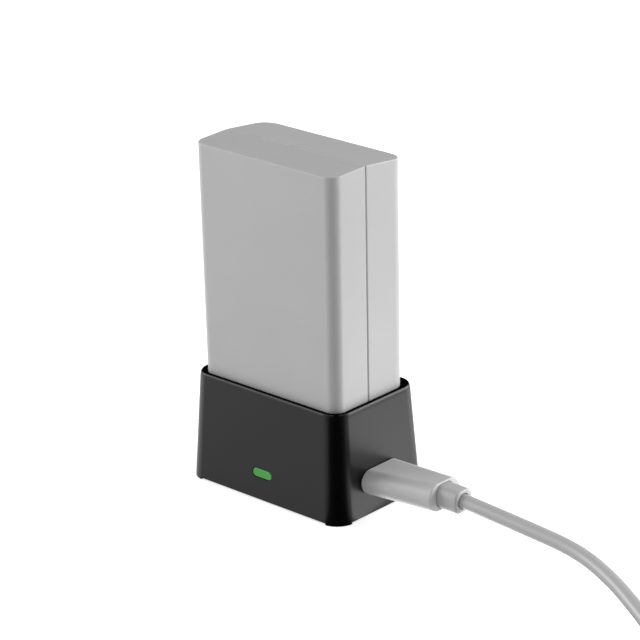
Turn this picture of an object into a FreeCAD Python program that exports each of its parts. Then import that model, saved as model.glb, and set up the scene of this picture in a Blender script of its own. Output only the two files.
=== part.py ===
# Desk charger for a camera flash battery: the dock, the battery pack that stands in its well, and the
# USB-C charging cord. Millimetres, +Z up. The origin is the middle of the dock's footprint on the table.
# +X points to the narrow side with the charging port, and the front with the indicator window faces -Y.

import FreeCAD
import Part
import Sketcher
import math
import os

Vector = FreeCAD.Vector
UP = Vector(0, 0, 1)

SIZES = {
    # Dock housing: a rim round the battery's well, and walls that flare out from it to the table.
    "dock_height": 26.1,
    "dock_corner": 4.7,
    "rim_wall_side": 1.3,
    "rim_wall_front": 1.35,
    "flare_side": 1.55,
    "flare_front": 1.6,
    "rim_round": 0.35,
    "rim_chamfer": 0.4,
    "foot_height": 0.45,
    "foot_reach": 4.3,
    "skirt_wall": 1.6,
    "well_floor_top": 11.4,
    "well_floor_thick": 1.2,
    "well_gap": 0.4,
    # Base plate with its screws, the bosses that they bite into and the posts under the board.
    "plate_bottom": 0.5,
    "plate_top": 2.0,
    "plate_gap": 0.15,
    "boss_inset": 4.95,
    "boss_diameter": 4.2,
    "screw_diameter": 1.6,
    "screw_head": 3.0,
    "screw_length": 6.0,
    "screw_gap": 0.1,
    "recess_length": 1.9,
    "recess_width": 0.45,
    "recess_deep": 0.5,
    "clamp_step": 5.3,
    "clamp_inset": 3.0,
    "post_diameter": 3.0,
    "rib_thick": 1.0,
    "rib_length": 2.8,
    "seat_gap": 0.05,
    # Circuit board and what stands on it.
    "board_bottom": 5.2,
    "board_thick": 1.0,
    "board_side_gap": 0.28,
    "board_front_gap": 0.17,
    "notch_gap": 0.4,
    "controller_side": 5.0,
    "controller_tall": 0.9,
    "controller_x": -9.0,
    "controller_y": -4.5,
    "inductor_side": 6.2,
    "inductor_tall": 2.8,
    "inductor_corner": 1.3,
    "inductor_x": 2.6,
    "inductor_y": -6.0,
    "capacitor_length": 3.2,
    "capacitor_wide": 1.6,
    "capacitor_tall": 1.6,
    "input_capacitor_x": 10.2,
    "input_capacitor_y": -3.0,
    "output_capacitor_x": -14.6,
    "output_capacitor_y": 3.0,
    # Indicator in the front wall: the light pipe and the diode behind it.
    "window_length": 5.7,
    "window_tall": 2.2,
    "window_gap": 0.15,
    "window_flange": 0.8,
    "window_flange_thick": 0.6,
    "diode_length": 3.0,
    "diode_deep": 1.2,
    "diode_tall": 1.4,
    "diode_dome": 1.1,
    "diode_setback": 0.5,
    # Charging port, its socket and the plug in it. Lengths run along the port's axis from the wall.
    "port_y": -0.9,
    "port_pitch": 3.0,
    "port_length": 9.4,
    "port_tall": 3.7,
    "socket_length": 8.94,
    "socket_tall": 3.26,
    "socket_wall": 0.3,
    "socket_back": 0.35,
    "socket_recess": 0.4,
    "socket_deep": 7.35,
    "socket_leg_place": 6.0,
    "socket_leg_wide": 1.6,
    "socket_leg_thick": 0.35,
    "tongue_length": 6.6,
    "tongue_tall": 0.65,
    "tongue_deep": 4.4,
    "plug_length": 12.5,
    "plug_tall": 6.05,
    "plug_taper": 0.85,
    "plug_deep": 20.5,
    "plug_front_round": 0.2,
    "plug_rear_round": 0.6,
    "plug_gap": 0.1,
    "relief_length": 7.4,
    "relief_tall": 4.65,
    "relief_taper": 0.35,
    "relief_deep": 4.8,
    "relief_round": 1.1,
    "relief_seat": 0.9,
    "relief_gap": 0.15,
    "relief_pitch": -0.5,
    "tip_length": 8.25,
    "tip_tall": 2.4,
    "tip_wall": 0.25,
    "tip_deep": 6.65,
    "tip_seat": 2.9,
    "insert_gap": 0.08,
    "insert_setback": 0.35,
    "slot_gap": 0.13,
    "slot_deep": 4.6,
    # Contacts in the well's floor and the plates that they press on.
    "contact_count": 4,
    "contact_pitch": 4.5,
    "contact_inset": 6.4,
    "slot_wide": 1.2,
    "slot_long": 5.0,
    "contact_wide": 0.8,
    "contact_thick": 0.3,
    "contact_reach": 1.6,
    "contact_press": 0.05,
    "contact_hook": 1.8,
    "carrier_margin": 3.0,
    "carrier_depth": 7.4,
    "carrier_gap": 0.1,
    "pocket_floor": 1.1,
    "plate_thick": 0.3,
    "plate_wide": 3.0,
    "plate_long": 7.0,
    # Battery pack: two half-shells round the cells, that meet on the ridge of the roof.
    "pack_wall": 1.5,
    "pack_floor_thick": 1.2,
    "pack_flare": 0.49,
    "pack_front_corner": 2.7,
    "pack_back_corner": 3.9,
    "pack_seam_y": -1.2,
    "pack_round": 0.4,
    "seam_chamfer": 0.25,
    "roof_thick": 2.4,
    "roof_front_fall": 0.3,
    "roof_back_fall": 1.45,
    "ceiling_gap": 0.1,
    "cell_diameter": 18.4,
    "cell_length": 65.0,
    "cell_gap": 0.1,
    "cell_side_room": 0.45,
    "cell_front_room": 1.2,
    "crimp_depth": 0.6,
    "crimp_drop": 4.2,
    "button_diameter": 6.8,
    "button_tall": 0.8,
    "card_thick": 0.3,
    "card_length": 36.0,
    "card_depth": 19.0,
    "card_corner": 3.0,
    "nickel_thick": 0.2,
    "nickel_wide": 7.0,
    "nickel_length": 26.0,
    "tab_length": 12.0,
    "guard_board_length": 10.0,
    "guard_board_tall": 45.0,
    "guard_board_thick": 1.0,
    "foam_length": 30.0,
    "foam_tall": 50.0,
    # Free end of the cord: a coil on the table, its tie, and the second plug beside it.
    "cord_diameter": 3.3,
    "coil_x": 130.0,
    "coil_y": 3.0,
    "coil_radius": 18.0,
    "coil_columns": 3,
    "coil_lead_in": 12.5,
    "coil_lead_out": 15.4,
    "coil_heading": -20.0,
    "tie_thick": 0.7,
    "tie_angle": -28.0,
    "tie_turn": 25.0,
    "tie_room": 1.0,
    "lift": 0.01,
}

# The cord from the strain relief to the coil, chosen by hand: straight out, then down to the table.
CORD_ROUTE = [
    (48.75, -0.9, 9.31),
    (65.0, -0.9, 8.27),
    (80.0, -1.2, 6.95),
    (91.5, -4.2, 5.0),
    (101.0, -8.4, 2.75),
    (106.27, -11.03, 1.65),
    (110.91, -12.72, 1.65),
]
ARC_SHARE = 0.45
ROUND_STEPS = 3

doc = FreeCAD.newDocument("FlashBatteryCharger")
sheet = doc.addObject("Spreadsheet::Sheet", "Sizes")
for row, (name, size) in enumerate(SIZES.items(), 1):
    sheet.set(f"A{row}", name)
    sheet.set(f"B{row}", str(size))
    sheet.setAlias(f"B{row}", name)
doc.recompute()


def cell(name):
    """The expression that reads one named size."""
    return "Sizes." + name


def value(expression):
    """An expression's value now, in millimetres or degrees."""
    return float(sheet.evalExpression(str(expression)))


# Heights of the pack, from the well's floor up.
PACK_FLOOR_TOP = f"({cell('well_floor_top')} + {cell('pack_floor_thick')})"
PLATE_TOP = f"({PACK_FLOOR_TOP} + {cell('plate_thick')})"
CARD_TOP = f"({PLATE_TOP} + {cell('card_thick')})"
CELL_BOTTOM = f"({CARD_TOP} + {cell('nickel_thick')})"
CELL_TOP = f"({CELL_BOTTOM} + {cell('cell_length')})"
PACK_CEILING = f"({CELL_TOP} + {cell('nickel_thick')} + {cell('ceiling_gap')})"
PACK_RIDGE = f"({PACK_CEILING} + {cell('roof_thick')})"

# The pack's plan, from its two cells outwards.
CELL_X = f"(({cell('cell_diameter')} + {cell('cell_gap')}) / 2)"
PACK_DEPTH = f"({cell('cell_diameter')} + 2 * ({cell('pack_wall')} + {cell('cell_front_room')}))"
CONTACT_Y = f"({PACK_DEPTH} / 2 - {cell('contact_inset')})"


def pack_length(height):
    """The pack's length at a height; its narrow sides part slightly towards the ridge."""
    bottom = f"2 * ({CELL_X} + {cell('cell_diameter')} / 2 + {cell('pack_wall')} + {cell('cell_side_room')})"
    low = cell("well_floor_top")
    return f"({bottom} + 2 * {cell('pack_flare')} * ({height} - {low}) / ({PACK_RIDGE} - {low}))"


# The dock's plan at its rim and at the table, from the well outwards.
WELL_LENGTH = f"({pack_length(cell('dock_height'))} + 2 * {cell('well_gap')})"
WELL_DEPTH = f"({PACK_DEPTH} + 2 * {cell('well_gap')})"
RIM_LENGTH = f"({WELL_LENGTH} + 2 * {cell('rim_wall_side')})"
RIM_DEPTH = f"({WELL_DEPTH} + 2 * {cell('rim_wall_front')})"
FOOT_LENGTH = f"({RIM_LENGTH} + 2 * {cell('flare_side')})"
FOOT_DEPTH = f"({RIM_DEPTH} + 2 * {cell('flare_front')})"


def wall_length(height):
    """The dock's outer length at a height."""
    return f"({FOOT_LENGTH} - 2 * {cell('flare_side')} * ({height}) / {cell('dock_height')})"


def wall_depth(height):
    """The dock's outer depth at a height."""
    return f"({FOOT_DEPTH} - 2 * {cell('flare_front')} * ({height}) / {cell('dock_height')})"


# What is under the well's floor.
FLOOR_BOTTOM = f"({cell('well_floor_top')} - {cell('well_floor_thick')})"
CARRIER_TOP = f"({FLOOR_BOTTOM} - {cell('carrier_gap')})"
BOARD_TOP = f"({cell('board_bottom')} + {cell('board_thick')})"
BOARD_LENGTH = f"({wall_length(BOARD_TOP)} - 2 * ({cell('skirt_wall')} + {cell('board_side_gap')}))"
BEHIND_WINDOW = f"({cell('skirt_wall')} + {cell('window_flange_thick')} + {cell('board_front_gap')})"
BOARD_DEPTH = f"({wall_depth(BOARD_TOP)} - 2 * {BEHIND_WINDOW})"
BOSS_X = f"({FOOT_LENGTH} / 2 - {cell('boss_inset')})"
BOSS_Y = f"({FOOT_DEPTH} / 2 - {cell('boss_inset')})"
CLAMP_X = f"({BOSS_X} - {cell('clamp_step')})"
CLAMP_Y = f"({BOARD_DEPTH} / 2 - {cell('clamp_inset')})"
WINDOW_HEIGHT = f"({BOARD_TOP} + {cell('diode_tall')} / 2)"

# The socket's lowest corner, at its back, is seated on the board.
SOCKET_REACH = f"({cell('socket_recess')} + {cell('socket_deep')})"
SOCKET_DROP = f"({SOCKET_REACH} * sin({cell('port_pitch')} * 1 deg))"
PORT_HEIGHT = f"({BOARD_TOP} + {cell('socket_tall')} / 2 + {SOCKET_DROP} + {cell('seat_gap')})"
PORT_X = f"({wall_length(PORT_HEIGHT)} / 2)"
FAR_PITCH = f"atan({cell('plug_taper')} / 2 / {cell('plug_deep')})"


def new_body(name):
    body = doc.addObject("PartDesign::Body", name)
    body.Label = name
    return body


def new_sketch(body, name, role, offset="0"):
    """A sketch on one of the body's own planes, moved along that plane's normal."""
    sketch = body.newObject("Sketcher::SketchObject", name)
    plane = [item for item in body.Origin.OriginFeatures if item.Role == role][0]
    sketch.AttachmentSupport = [(plane, "")]
    sketch.MapMode = "FlatFace"
    sketch.setExpression("AttachmentOffset.Base.z", offset)
    return sketch


def hold(sketch, kind, place, expression):
    """Ties a coordinate or a radius in a sketch to an expression."""
    index = sketch.addConstraint(Sketcher.Constraint(kind, *place, value(expression)))
    name = f"size_{index}"
    sketch.renameConstraint(index, name)
    sketch.setExpression(f"Constraints.{name}", expression)


def belt(sketch, discs):
    """A closed outline that runs counterclockwise round discs (x, y, radius), joined by tangent lines."""
    spots = [tuple(value(item) for item in disc) for disc in discs]
    following = spots[1:] + spots[:1]
    normals = []
    for (x, y, radius), (next_x, next_y, next_radius) in zip(spots, following):
        span = math.hypot(next_x - x, next_y - y)
        heading = math.atan2(next_y - y, next_x - x)
        normals.append(heading - math.acos((radius - next_radius) / span))
    arcs = []
    for index, (x, y, radius) in enumerate(spots):
        start, end = normals[index - 1], normals[index]
        while end <= start:
            end += 2 * math.pi
        circle = Part.Circle(Vector(x, y, 0), UP, radius)
        arcs.append(sketch.addGeometry(Part.ArcOfCircle(circle, start, end)))
    for index, arc in enumerate(arcs):
        after = arcs[(index + 1) % len(arcs)]
        ends = sketch.Geometry[arc].EndPoint, sketch.Geometry[after].StartPoint
        line = sketch.addGeometry(Part.LineSegment(*ends))
        sketch.addConstraint(Sketcher.Constraint("Tangent", arc, 2, line, 1))
        sketch.addConstraint(Sketcher.Constraint("Tangent", line, 2, after, 1))
    for arc, (x, y, radius) in zip(arcs, discs):
        hold(sketch, "DistanceX", (-1, 1, arc, 3), x)
        hold(sketch, "DistanceY", (-1, 1, arc, 3), y)
        hold(sketch, "Radius", (arc,), radius)


def rounded(sketch, length, depth, front_corner, back_corner=None):
    """A rounded rectangle round the origin. The corners at the back may have their own radius."""
    back_corner = back_corner or front_corner
    discs = []
    for side_x, side_y in ((-1, -1), (1, -1), (1, 1), (-1, 1)):
        corner = front_corner if side_y < 0 else back_corner
        x = f"{side_x} * (({length}) / 2 - ({corner}))"
        y = f"{side_y} * (({depth}) / 2 - ({corner}))"
        discs.append((x, y, corner))
    belt(sketch, discs)


def slot(sketch, length, tall, x="0", y="0"):
    """A slot with round ends, lying along the sketch's first axis."""
    reach = f"(({length}) - ({tall})) / 2"
    belt(sketch, [(f"({x}) + {side} * {reach}", y, f"({tall}) / 2") for side in (-1, 1)])


def polygon(sketch, points):
    """A closed outline of straight lines."""
    spots = [Vector(value(x), value(y), 0) for x, y in points]
    lines = [
        sketch.addGeometry(Part.LineSegment(start, end))
        for start, end in zip(spots, spots[1:] + spots[:1])
    ]
    for index, line in enumerate(lines):
        after = lines[(index + 1) % len(lines)]
        sketch.addConstraint(Sketcher.Constraint("Coincident", line, 2, after, 1))
    for line, (x, y) in zip(lines, points):
        hold(sketch, "DistanceX", (-1, 1, line, 1), x)
        hold(sketch, "DistanceY", (-1, 1, line, 1), y)


def rectangle(sketch, length, depth, x="0", y="0"):
    half_x, half_y = f"({length}) / 2", f"({depth}) / 2"
    corners = ((-1, -1), (1, -1), (1, 1), (-1, 1))
    polygon(sketch, [(f"({x}) + {i} * {half_x}", f"({y}) + {j} * {half_y}") for i, j in corners])


def trapezoid(sketch, low_length, low, high_length, high):
    """A symmetric outline whose two sides lean."""
    corners = ((-1, low_length, low), (1, low_length, low), (1, high_length, high), (-1, high_length, high))
    polygon(sketch, [(f"{side} * {length} / 2", height) for side, length, height in corners])


def disc(sketch, diameter, x="0", y="0"):
    circle = Part.Circle(Vector(value(x), value(y), 0), UP, value(diameter) / 2)
    index = sketch.addGeometry(circle)
    hold(sketch, "DistanceX", (-1, 1, index, 3), x)
    hold(sketch, "DistanceY", (-1, 1, index, 3), y)
    hold(sketch, "Radius", (index,), f"({diameter}) / 2")


def four_times(x, y):
    """The four places (x, y) with either sign."""
    return [(f"{i} * {x}", f"{j} * {y}") for i, j in ((-1, -1), (1, -1), (1, 1), (-1, 1))]


def extrude(body, kind, name, sketch, length, way="One side", reverse=False, taper="0"):
    """A pad rises along its sketch's normal and a pocket sinks against it, unless reversed."""
    feature = body.newObject("PartDesign::" + kind, name)
    feature.Profile = sketch
    feature.SideType = way
    feature.Reversed = reverse
    feature.setExpression("Length", length)
    feature.setExpression("TaperAngle", taper)
    doc.recompute()
    return feature


def loft(body, kind, name, outlines):
    feature = body.newObject("PartDesign::" + kind, name)
    feature.Profile = outlines[0]
    feature.Sections = outlines[1:]
    feature.Ruled = True
    doc.recompute()
    return feature


def round_over(body, name, role, place, size, draw, way=1):
    """Outlines that take a loft over a rounded edge, from its shoulder to its end face."""
    outlines = []
    for step in range(ROUND_STEPS + 1):
        angle = math.pi / 2 * step / ROUND_STEPS
        back, inset = round(1 - math.sin(angle), 6), round(1 - math.cos(angle), 6)
        sketch = new_sketch(body, f"{name}{step}", role, f"({place}) - {way * back} * ({size})")
        draw(sketch, f"{inset} * ({size})")
        outlines.append(sketch)
    return outlines


def revolve(body, name, sketch):
    feature = body.newObject("PartDesign::Revolution", name)
    feature.Profile = sketch
    feature.ReferenceAxis = (sketch, ["V_Axis"])
    feature.Angle = 360
    doc.recompute()
    return feature


def soften(body, kind, name, base, wanted, size):
    """A fillet or chamfer on the edges of the last feature that the test wanted picks."""
    edges = [f"Edge{index}" for index, edge in enumerate(base.Shape.Edges, 1) if wanted(edge)]
    feature = body.newObject("PartDesign::" + kind, name)
    feature.Base = (base, edges)
    feature.setExpression("Radius" if kind == "Fillet" else "Size", size)
    doc.recompute()
    return feature


def level(edge, height, reach=1e-4):
    """True for an edge that lies at one height."""
    box = edge.BoundBox
    return abs(box.ZMin - height) < reach and abs(box.ZMax - height) < reach


def upright(edge):
    """True for an edge that rises steeply."""
    box = edge.BoundBox
    return box.ZLength > 2 * max(box.XLength, box.YLength)


def charger_housing():
    """One moulding: drafted shell, well with a slotted floor, screw bosses, ribs, port and window."""
    body = new_body("charger_housing")
    side_walls = new_sketch(body, "SideWalls", "XZ_Plane")
    trapezoid(side_walls, FOOT_LENGTH, "0", RIM_LENGTH, cell("dock_height"))
    extrude(body, "Pad", "Block", side_walls, FOOT_DEPTH, "Symmetric")
    draft = new_sketch(body, "FrontAndBackDraft", "YZ_Plane")
    for side in (-1, 1):
        wedge = [(FOOT_DEPTH, "0"), (RIM_DEPTH, cell("dock_height")), (FOOT_DEPTH, cell("dock_height"))]
        polygon(draft, [(f"{side} * {y} / 2", z) for y, z in wedge])
    block = extrude(body, "Pocket", "FrontAndBack", draft, FOOT_LENGTH, "Symmetric")
    block = soften(body, "Fillet", "Corners", block, upright, cell("dock_corner"))
    rim_height = value(cell("dock_height"))

    def at_rim(edge):
        return level(edge, rim_height)

    soften(body, "Fillet", "RimRound", block, at_rim, cell("rim_round"))

    well = new_sketch(body, "WellOutline", "XY_Plane", cell("dock_height"))
    gap = cell("well_gap")
    front_corner = f"({cell('pack_front_corner')} + {gap})"
    back_corner = f"({cell('pack_back_corner')} + {gap})"
    rounded(well, WELL_LENGTH, WELL_DEPTH, front_corner, back_corner)
    shell = extrude(body, "Pocket", "Well", well, f"{cell('dock_height')} - {cell('well_floor_top')}")
    inner_length = value(WELL_LENGTH) / 2 + 1e-3
    inner_depth = value(WELL_DEPTH) / 2 + 1e-3

    def lead_in(edge):
        box = edge.BoundBox
        inside = box.XMax < inner_length and box.XMin > -inner_length
        inside = inside and box.YMax < inner_depth and box.YMin > -inner_depth
        return at_rim(edge) and inside

    soften(body, "Chamfer", "LeadIn", shell, lead_in, cell("rim_chamfer"))

    skirt = new_sketch(body, "SkirtFoot", "XY_Plane")
    wall = cell("skirt_wall")
    foot_corner = f"({cell('dock_corner')} - {wall})"
    rounded(skirt, f"{FOOT_LENGTH} - 2 * {wall}", f"{FOOT_DEPTH} - 2 * {wall}", foot_corner)
    lean = f"-atan({cell('flare_front')} / {cell('dock_height')})"
    extrude(body, "Pocket", "SkirtHollow", skirt, FLOOR_BOTTOM, reverse=True, taper=lean)

    reach = cell("foot_reach")
    long_side = new_sketch(body, "FrontBackRelief", "XY_Plane")
    rectangle(long_side, f"{FOOT_LENGTH} - 2 * {reach}", f"{FOOT_DEPTH} + 2")
    extrude(body, "Pocket", "FrontBackEdge", long_side, cell("foot_height"), reverse=True)
    short_side = new_sketch(body, "SideRelief", "XY_Plane")
    rectangle(short_side, f"{FOOT_LENGTH} + 2", f"{FOOT_DEPTH} - 2 * {reach}")
    extrude(body, "Pocket", "SideEdge", short_side, cell("foot_height"), reverse=True)

    bosses = new_sketch(body, "BossOutline", "XY_Plane", FLOOR_BOTTOM)
    pilots = new_sketch(body, "PilotOutline", "XY_Plane", cell("plate_top"))
    for x, y in four_times(BOSS_X, BOSS_Y):
        disc(bosses, cell("boss_diameter"), x, y)
        disc(pilots, f"{cell('screw_diameter')} + 2 * {cell('screw_gap')}", x, y)
    drop = f"{FLOOR_BOTTOM} - {cell('plate_top')}"
    extrude(body, "Pad", "Bosses", bosses, drop, reverse=True)
    extrude(body, "Pocket", "PilotHoles", pilots, cell("screw_length"), reverse=True)

    ribs = new_sketch(body, "RibOutline", "XY_Plane", FLOOR_BOTTOM)
    for x, y in four_times(CLAMP_X, CLAMP_Y):
        rectangle(ribs, cell("rib_thick"), cell("rib_length"), x, y)
    reach_down = f"{FLOOR_BOTTOM} - {BOARD_TOP} - {cell('seat_gap')}"
    extrude(body, "Pad", "HoldDownRibs", ribs, reach_down, reverse=True)

    slots = new_sketch(body, "ContactSlots", "XY_Plane", cell("well_floor_top"))
    for x in contact_places():
        rectangle(slots, cell("slot_wide"), cell("slot_long"), x, CONTACT_Y)
    through = f"{cell('well_floor_thick')} + {cell('carrier_gap')} / 2"
    extrude(body, "Pocket", "FloorSlots", slots, through)

    window = new_sketch(body, "WindowOutline", "XZ_Plane", f"{wall_depth(WINDOW_HEIGHT)} / 2")
    length = f"{cell('window_length')} + 2 * {cell('window_gap')}"
    tall = f"{cell('window_tall')} + 2 * {cell('window_gap')}"
    slot(window, length, tall, "0", WINDOW_HEIGHT)
    extrude(body, "Pocket", "WindowOpening", window, f"3 * {cell('skirt_wall')}", "Symmetric")

    port = new_sketch(body, "PortOutline", "YZ_Plane", PORT_X)
    slot(port, cell("port_length"), cell("port_tall"), cell("port_y"), PORT_HEIGHT)
    extrude(body, "Pocket", "PortOpening", port, f"3 * {cell('skirt_wall')}", "Symmetric")
    return body


def base_plate():
    """Closes the skirt from below; the board stands on its posts."""
    body = new_body("base_plate")
    outline = new_sketch(body, "PlateOutline", "XY_Plane", cell("plate_bottom"))
    inset = f"{cell('skirt_wall')} + {cell('plate_gap')}"
    top = cell("plate_top")
    length = f"{wall_length(top)} - 2 * ({inset})"
    depth = f"{wall_depth(top)} - 2 * ({inset})"
    rounded(outline, length, depth, f"{cell('dock_corner')} - ({inset})")
    thick = f"{cell('plate_top')} - {cell('plate_bottom')}"
    extrude(body, "Pad", "Plate", outline, thick)

    posts = new_sketch(body, "PostOutline", "XY_Plane", cell("plate_top"))
    for x, y in four_times(CLAMP_X, CLAMP_Y):
        disc(posts, cell("post_diameter"), x, y)
    extrude(body, "Pad", "Posts", posts, f"{cell('board_bottom')} - {cell('plate_top')}")

    holes = new_sketch(body, "HoleOutline", "XY_Plane", cell("plate_top"))
    hole = f"({cell('screw_diameter')} + 2 * {cell('screw_gap')})"
    for x, y in four_times(BOSS_X, BOSS_Y):
        disc(holes, hole, x, y)
    plate = extrude(body, "Pocket", "Holes", holes, thick)

    widest = value(hole) / 2 + 1e-3
    bottom = value(cell("plate_bottom"))

    def mouth(edge):
        return level(edge, bottom) and edge.BoundBox.XLength < 2 * widest

    sink = f"({cell('screw_head')} - {cell('screw_diameter')}) / 2"
    soften(body, "Chamfer", "Countersinks", plate, mouth, sink)
    return body


def base_screws():
    """Four countersunk screws, driven up through the base plate into the bosses."""
    head, shank = f"{cell('screw_head')} / 2", f"{cell('screw_diameter')} / 2"
    thick = f"({cell('plate_top')} - {cell('plate_bottom')})"
    end = f"{cell('screw_length')} + {thick} - 2 * {cell('screw_gap')}"
    points = [("0", "0"), (head, "0"), (shank, f"({head} - {shank})"), (shank, end), ("0", end)]
    recess = cell("recess_length"), cell("recess_width")
    screws = []
    for number, (x, y) in enumerate(four_times(BOSS_X, BOSS_Y), 1):
        body = new_body(f"base_screw_{number}")
        profile = new_sketch(body, "ScrewProfile", "XZ_Plane")
        polygon(profile, points)
        revolve(body, "Screw", profile)
        for name, sides in (("Long", recess), ("Cross", recess[::-1])):
            arm = new_sketch(body, name + "Arm", "XY_Plane")
            rectangle(arm, *sides)
            extrude(body, "Pocket", name + "Recess", arm, cell("recess_deep"), reverse=True)
        body.setExpression("Placement.Base.x", x)
        body.setExpression("Placement.Base.y", y)
        body.setExpression("Placement.Base.z", cell("plate_bottom"))
        screws.append(body)
    return screws


def circuit_board():
    """The board, notched at its corners to clear the screw bosses."""
    body = new_body("circuit_board")
    outline = new_sketch(body, "BoardOutline", "XY_Plane", cell("board_bottom"))
    rectangle(outline, BOARD_LENGTH, BOARD_DEPTH)
    extrude(body, "Pad", "Board", outline, cell("board_thick"))
    notches = new_sketch(body, "NotchOutline", "XY_Plane", BOARD_TOP)
    around = f"({cell('boss_diameter')} / 2 + {cell('notch_gap')})"
    length = f"2 * ({BOARD_LENGTH} / 2 - {BOSS_X} + {around})"
    depth = f"2 * ({BOARD_DEPTH} / 2 - {BOSS_Y} + {around})"
    for x, y in four_times(f"{BOARD_LENGTH} / 2", f"{BOARD_DEPTH} / 2"):
        rectangle(notches, length, depth, x, y)
    extrude(body, "Pocket", "Notches", notches, cell("board_thick"))
    return body


def block_on_board(name, length, depth, tall, x, y, corner=None):
    """A component with a rectangular case that stands on the board."""
    body = new_body(name)
    outline = new_sketch(body, "CaseOutline", "XY_Plane", BOARD_TOP)
    if corner:
        rounded(outline, length, depth, corner)
    else:
        rectangle(outline, length, depth)
    extrude(body, "Pad", "Case", outline, tall)
    body.setExpression("Placement.Base.x", x)
    body.setExpression("Placement.Base.y", y)
    return body


def status_led():
    """Diode on the board's front edge: a case with a round lens that faces the light pipe."""
    case = doc.addObject("Part::Box", "DiodeCase")
    case.setExpression("Length", cell("diode_length"))
    case.setExpression("Width", cell("diode_deep"))
    case.setExpression("Height", cell("diode_tall"))
    front = f"(-{BOARD_DEPTH} / 2 + {cell('diode_setback')})"
    case.setExpression("Placement.Base.x", f"-{cell('diode_length')} / 2")
    case.setExpression("Placement.Base.y", front)
    case.setExpression("Placement.Base.z", BOARD_TOP)
    dome = doc.addObject("Part::Sphere", "DiodeLens")
    dome.setExpression("Radius", f"{cell('diode_dome')} / 2")
    dome.setExpression("Placement.Base.y", f"{front} + {cell('diode_dome')} / 4")
    dome.setExpression("Placement.Base.z", f"{BOARD_TOP} + {cell('diode_tall')} / 2")
    led = doc.addObject("Part::Fuse", "status_led")
    led.Base = case
    led.Tool = dome
    led.Label = "status_led"
    return led


def led_window():
    """Light pipe: a window flush with the drafted wall, and a flange behind the wall that retains it."""
    body = new_body("led_window")
    face = new_sketch(body, "WindowFace", "XY_Plane")
    slot(face, cell("window_length"), cell("window_tall"))
    draft = f"({cell('flare_front')} / {cell('dock_height')})"
    through = f"({cell('skirt_wall')} * cos(atan({draft})) + {cell('seat_gap')})"
    extrude(body, "Pad", "Window", face, through)
    flange = new_sketch(body, "FlangeFace", "XY_Plane", through)
    wider = f"2 * {cell('window_flange')}"
    slot(flange, f"{cell('window_length')} + {wider}", f"{cell('window_tall')} + {wider}")
    extrude(body, "Pad", "Flange", flange, cell("window_flange_thick"))
    body.Placement = FreeCAD.Placement(Vector(), FreeCAD.Rotation(Vector(-1, 0, 0), 90))
    body.setExpression("Placement.Rotation.Angle", f"90 deg + atan({draft})")
    body.setExpression("Placement.Base.y", f"-{wall_depth(WINDOW_HEIGHT)} / 2")
    body.setExpression("Placement.Base.z", WINDOW_HEIGHT)
    return body


def seat_on_port(body, along="0", pitch=None):
    """Stands a body, built along +X, on the port's axis, a distance out from the wall."""
    axis = cell("port_pitch")
    body.Placement = FreeCAD.Placement(Vector(), FreeCAD.Rotation(Vector(0, -1, 0), 1))
    body.setExpression("Placement.Rotation.Angle", pitch or axis)
    body.setExpression("Placement.Base.x", f"{PORT_X} + ({along}) * cos({axis} * 1 deg)")
    body.setExpression("Placement.Base.y", cell("port_y"))
    body.setExpression("Placement.Base.z", f"{PORT_HEIGHT} + ({along}) * sin({axis} * 1 deg)")


def seat_by_coil(body, along="0"):
    """Lays a body of the second plug on the table beside the coil, its cord end towards the coil."""
    rear = f"({cell('plug_deep')} + {cell('relief_deep')})"
    front = f"{cell('coil_x')} - {cell('coil_lead_out')} - {rear} * cos({FAR_PITCH})"
    centre = f"{cell('coil_y')} + {cell('coil_radius')} + {cell('cord_diameter')}"
    body.Placement = FreeCAD.Placement(Vector(), FreeCAD.Rotation(Vector(0, 1, 0), 1))
    body.setExpression("Placement.Rotation.Angle", FAR_PITCH)
    body.setExpression("Placement.Base.x", f"{front} + ({along}) * cos({FAR_PITCH})")
    body.setExpression("Placement.Base.y", centre)
    height = f"{cell('plug_tall')} / 2 + {cell('lift')}"
    body.setExpression("Placement.Base.z", f"{height} - ({along}) * sin({FAR_PITCH})")


def usb_socket_shell():
    """Folded steel shell with a closed back and a soldered leg on each side."""
    body = new_body("usb_socket_shell")
    mouth = f"-{cell('socket_recess')}"
    outside = new_sketch(body, "ShellOutline", "YZ_Plane", mouth)
    slot(outside, cell("socket_length"), cell("socket_tall"))
    extrude(body, "Pad", "Shell", outside, cell("socket_deep"), reverse=True)
    inside = new_sketch(body, "MouthOutline", "YZ_Plane", mouth)
    wall = f"2 * {cell('socket_wall')}"
    slot(inside, f"{cell('socket_length')} - {wall}", f"{cell('socket_tall')} - {wall}")
    extrude(body, "Pocket", "Mouth", inside, f"{cell('socket_deep')} - {cell('socket_back')}")
    legs = new_sketch(body, "LegOutline", "XY_Plane")
    wide, thick, place = cell("socket_leg_wide"), cell("socket_leg_thick"), cell("socket_leg_place")
    for side in (-1, 1):
        middle = f"{side} * ({cell('socket_length')} / 2 + {thick} / 4)"
        rectangle(legs, wide, thick, f"-{place}", middle)
    lower = f"({place} + {wide} / 2) * tan({cell('port_pitch')} * 1 deg)"
    drop = f"{PORT_HEIGHT} - {BOARD_TOP} - {lower} - {cell('seat_gap')}"
    extrude(body, "Pad", "Legs", legs, drop, reverse=True)
    seat_on_port(body)
    return body


def usb_socket_tongue():
    body = new_body("usb_socket_tongue")
    back = f"-({SOCKET_REACH} - {cell('socket_back')})"
    outline = new_sketch(body, "TongueOutline", "YZ_Plane", back)
    rectangle(outline, cell("tongue_length"), cell("tongue_tall"))
    extrude(body, "Pad", "Tongue", outline, cell("tongue_deep"))
    seat_on_port(body)
    return body


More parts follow.
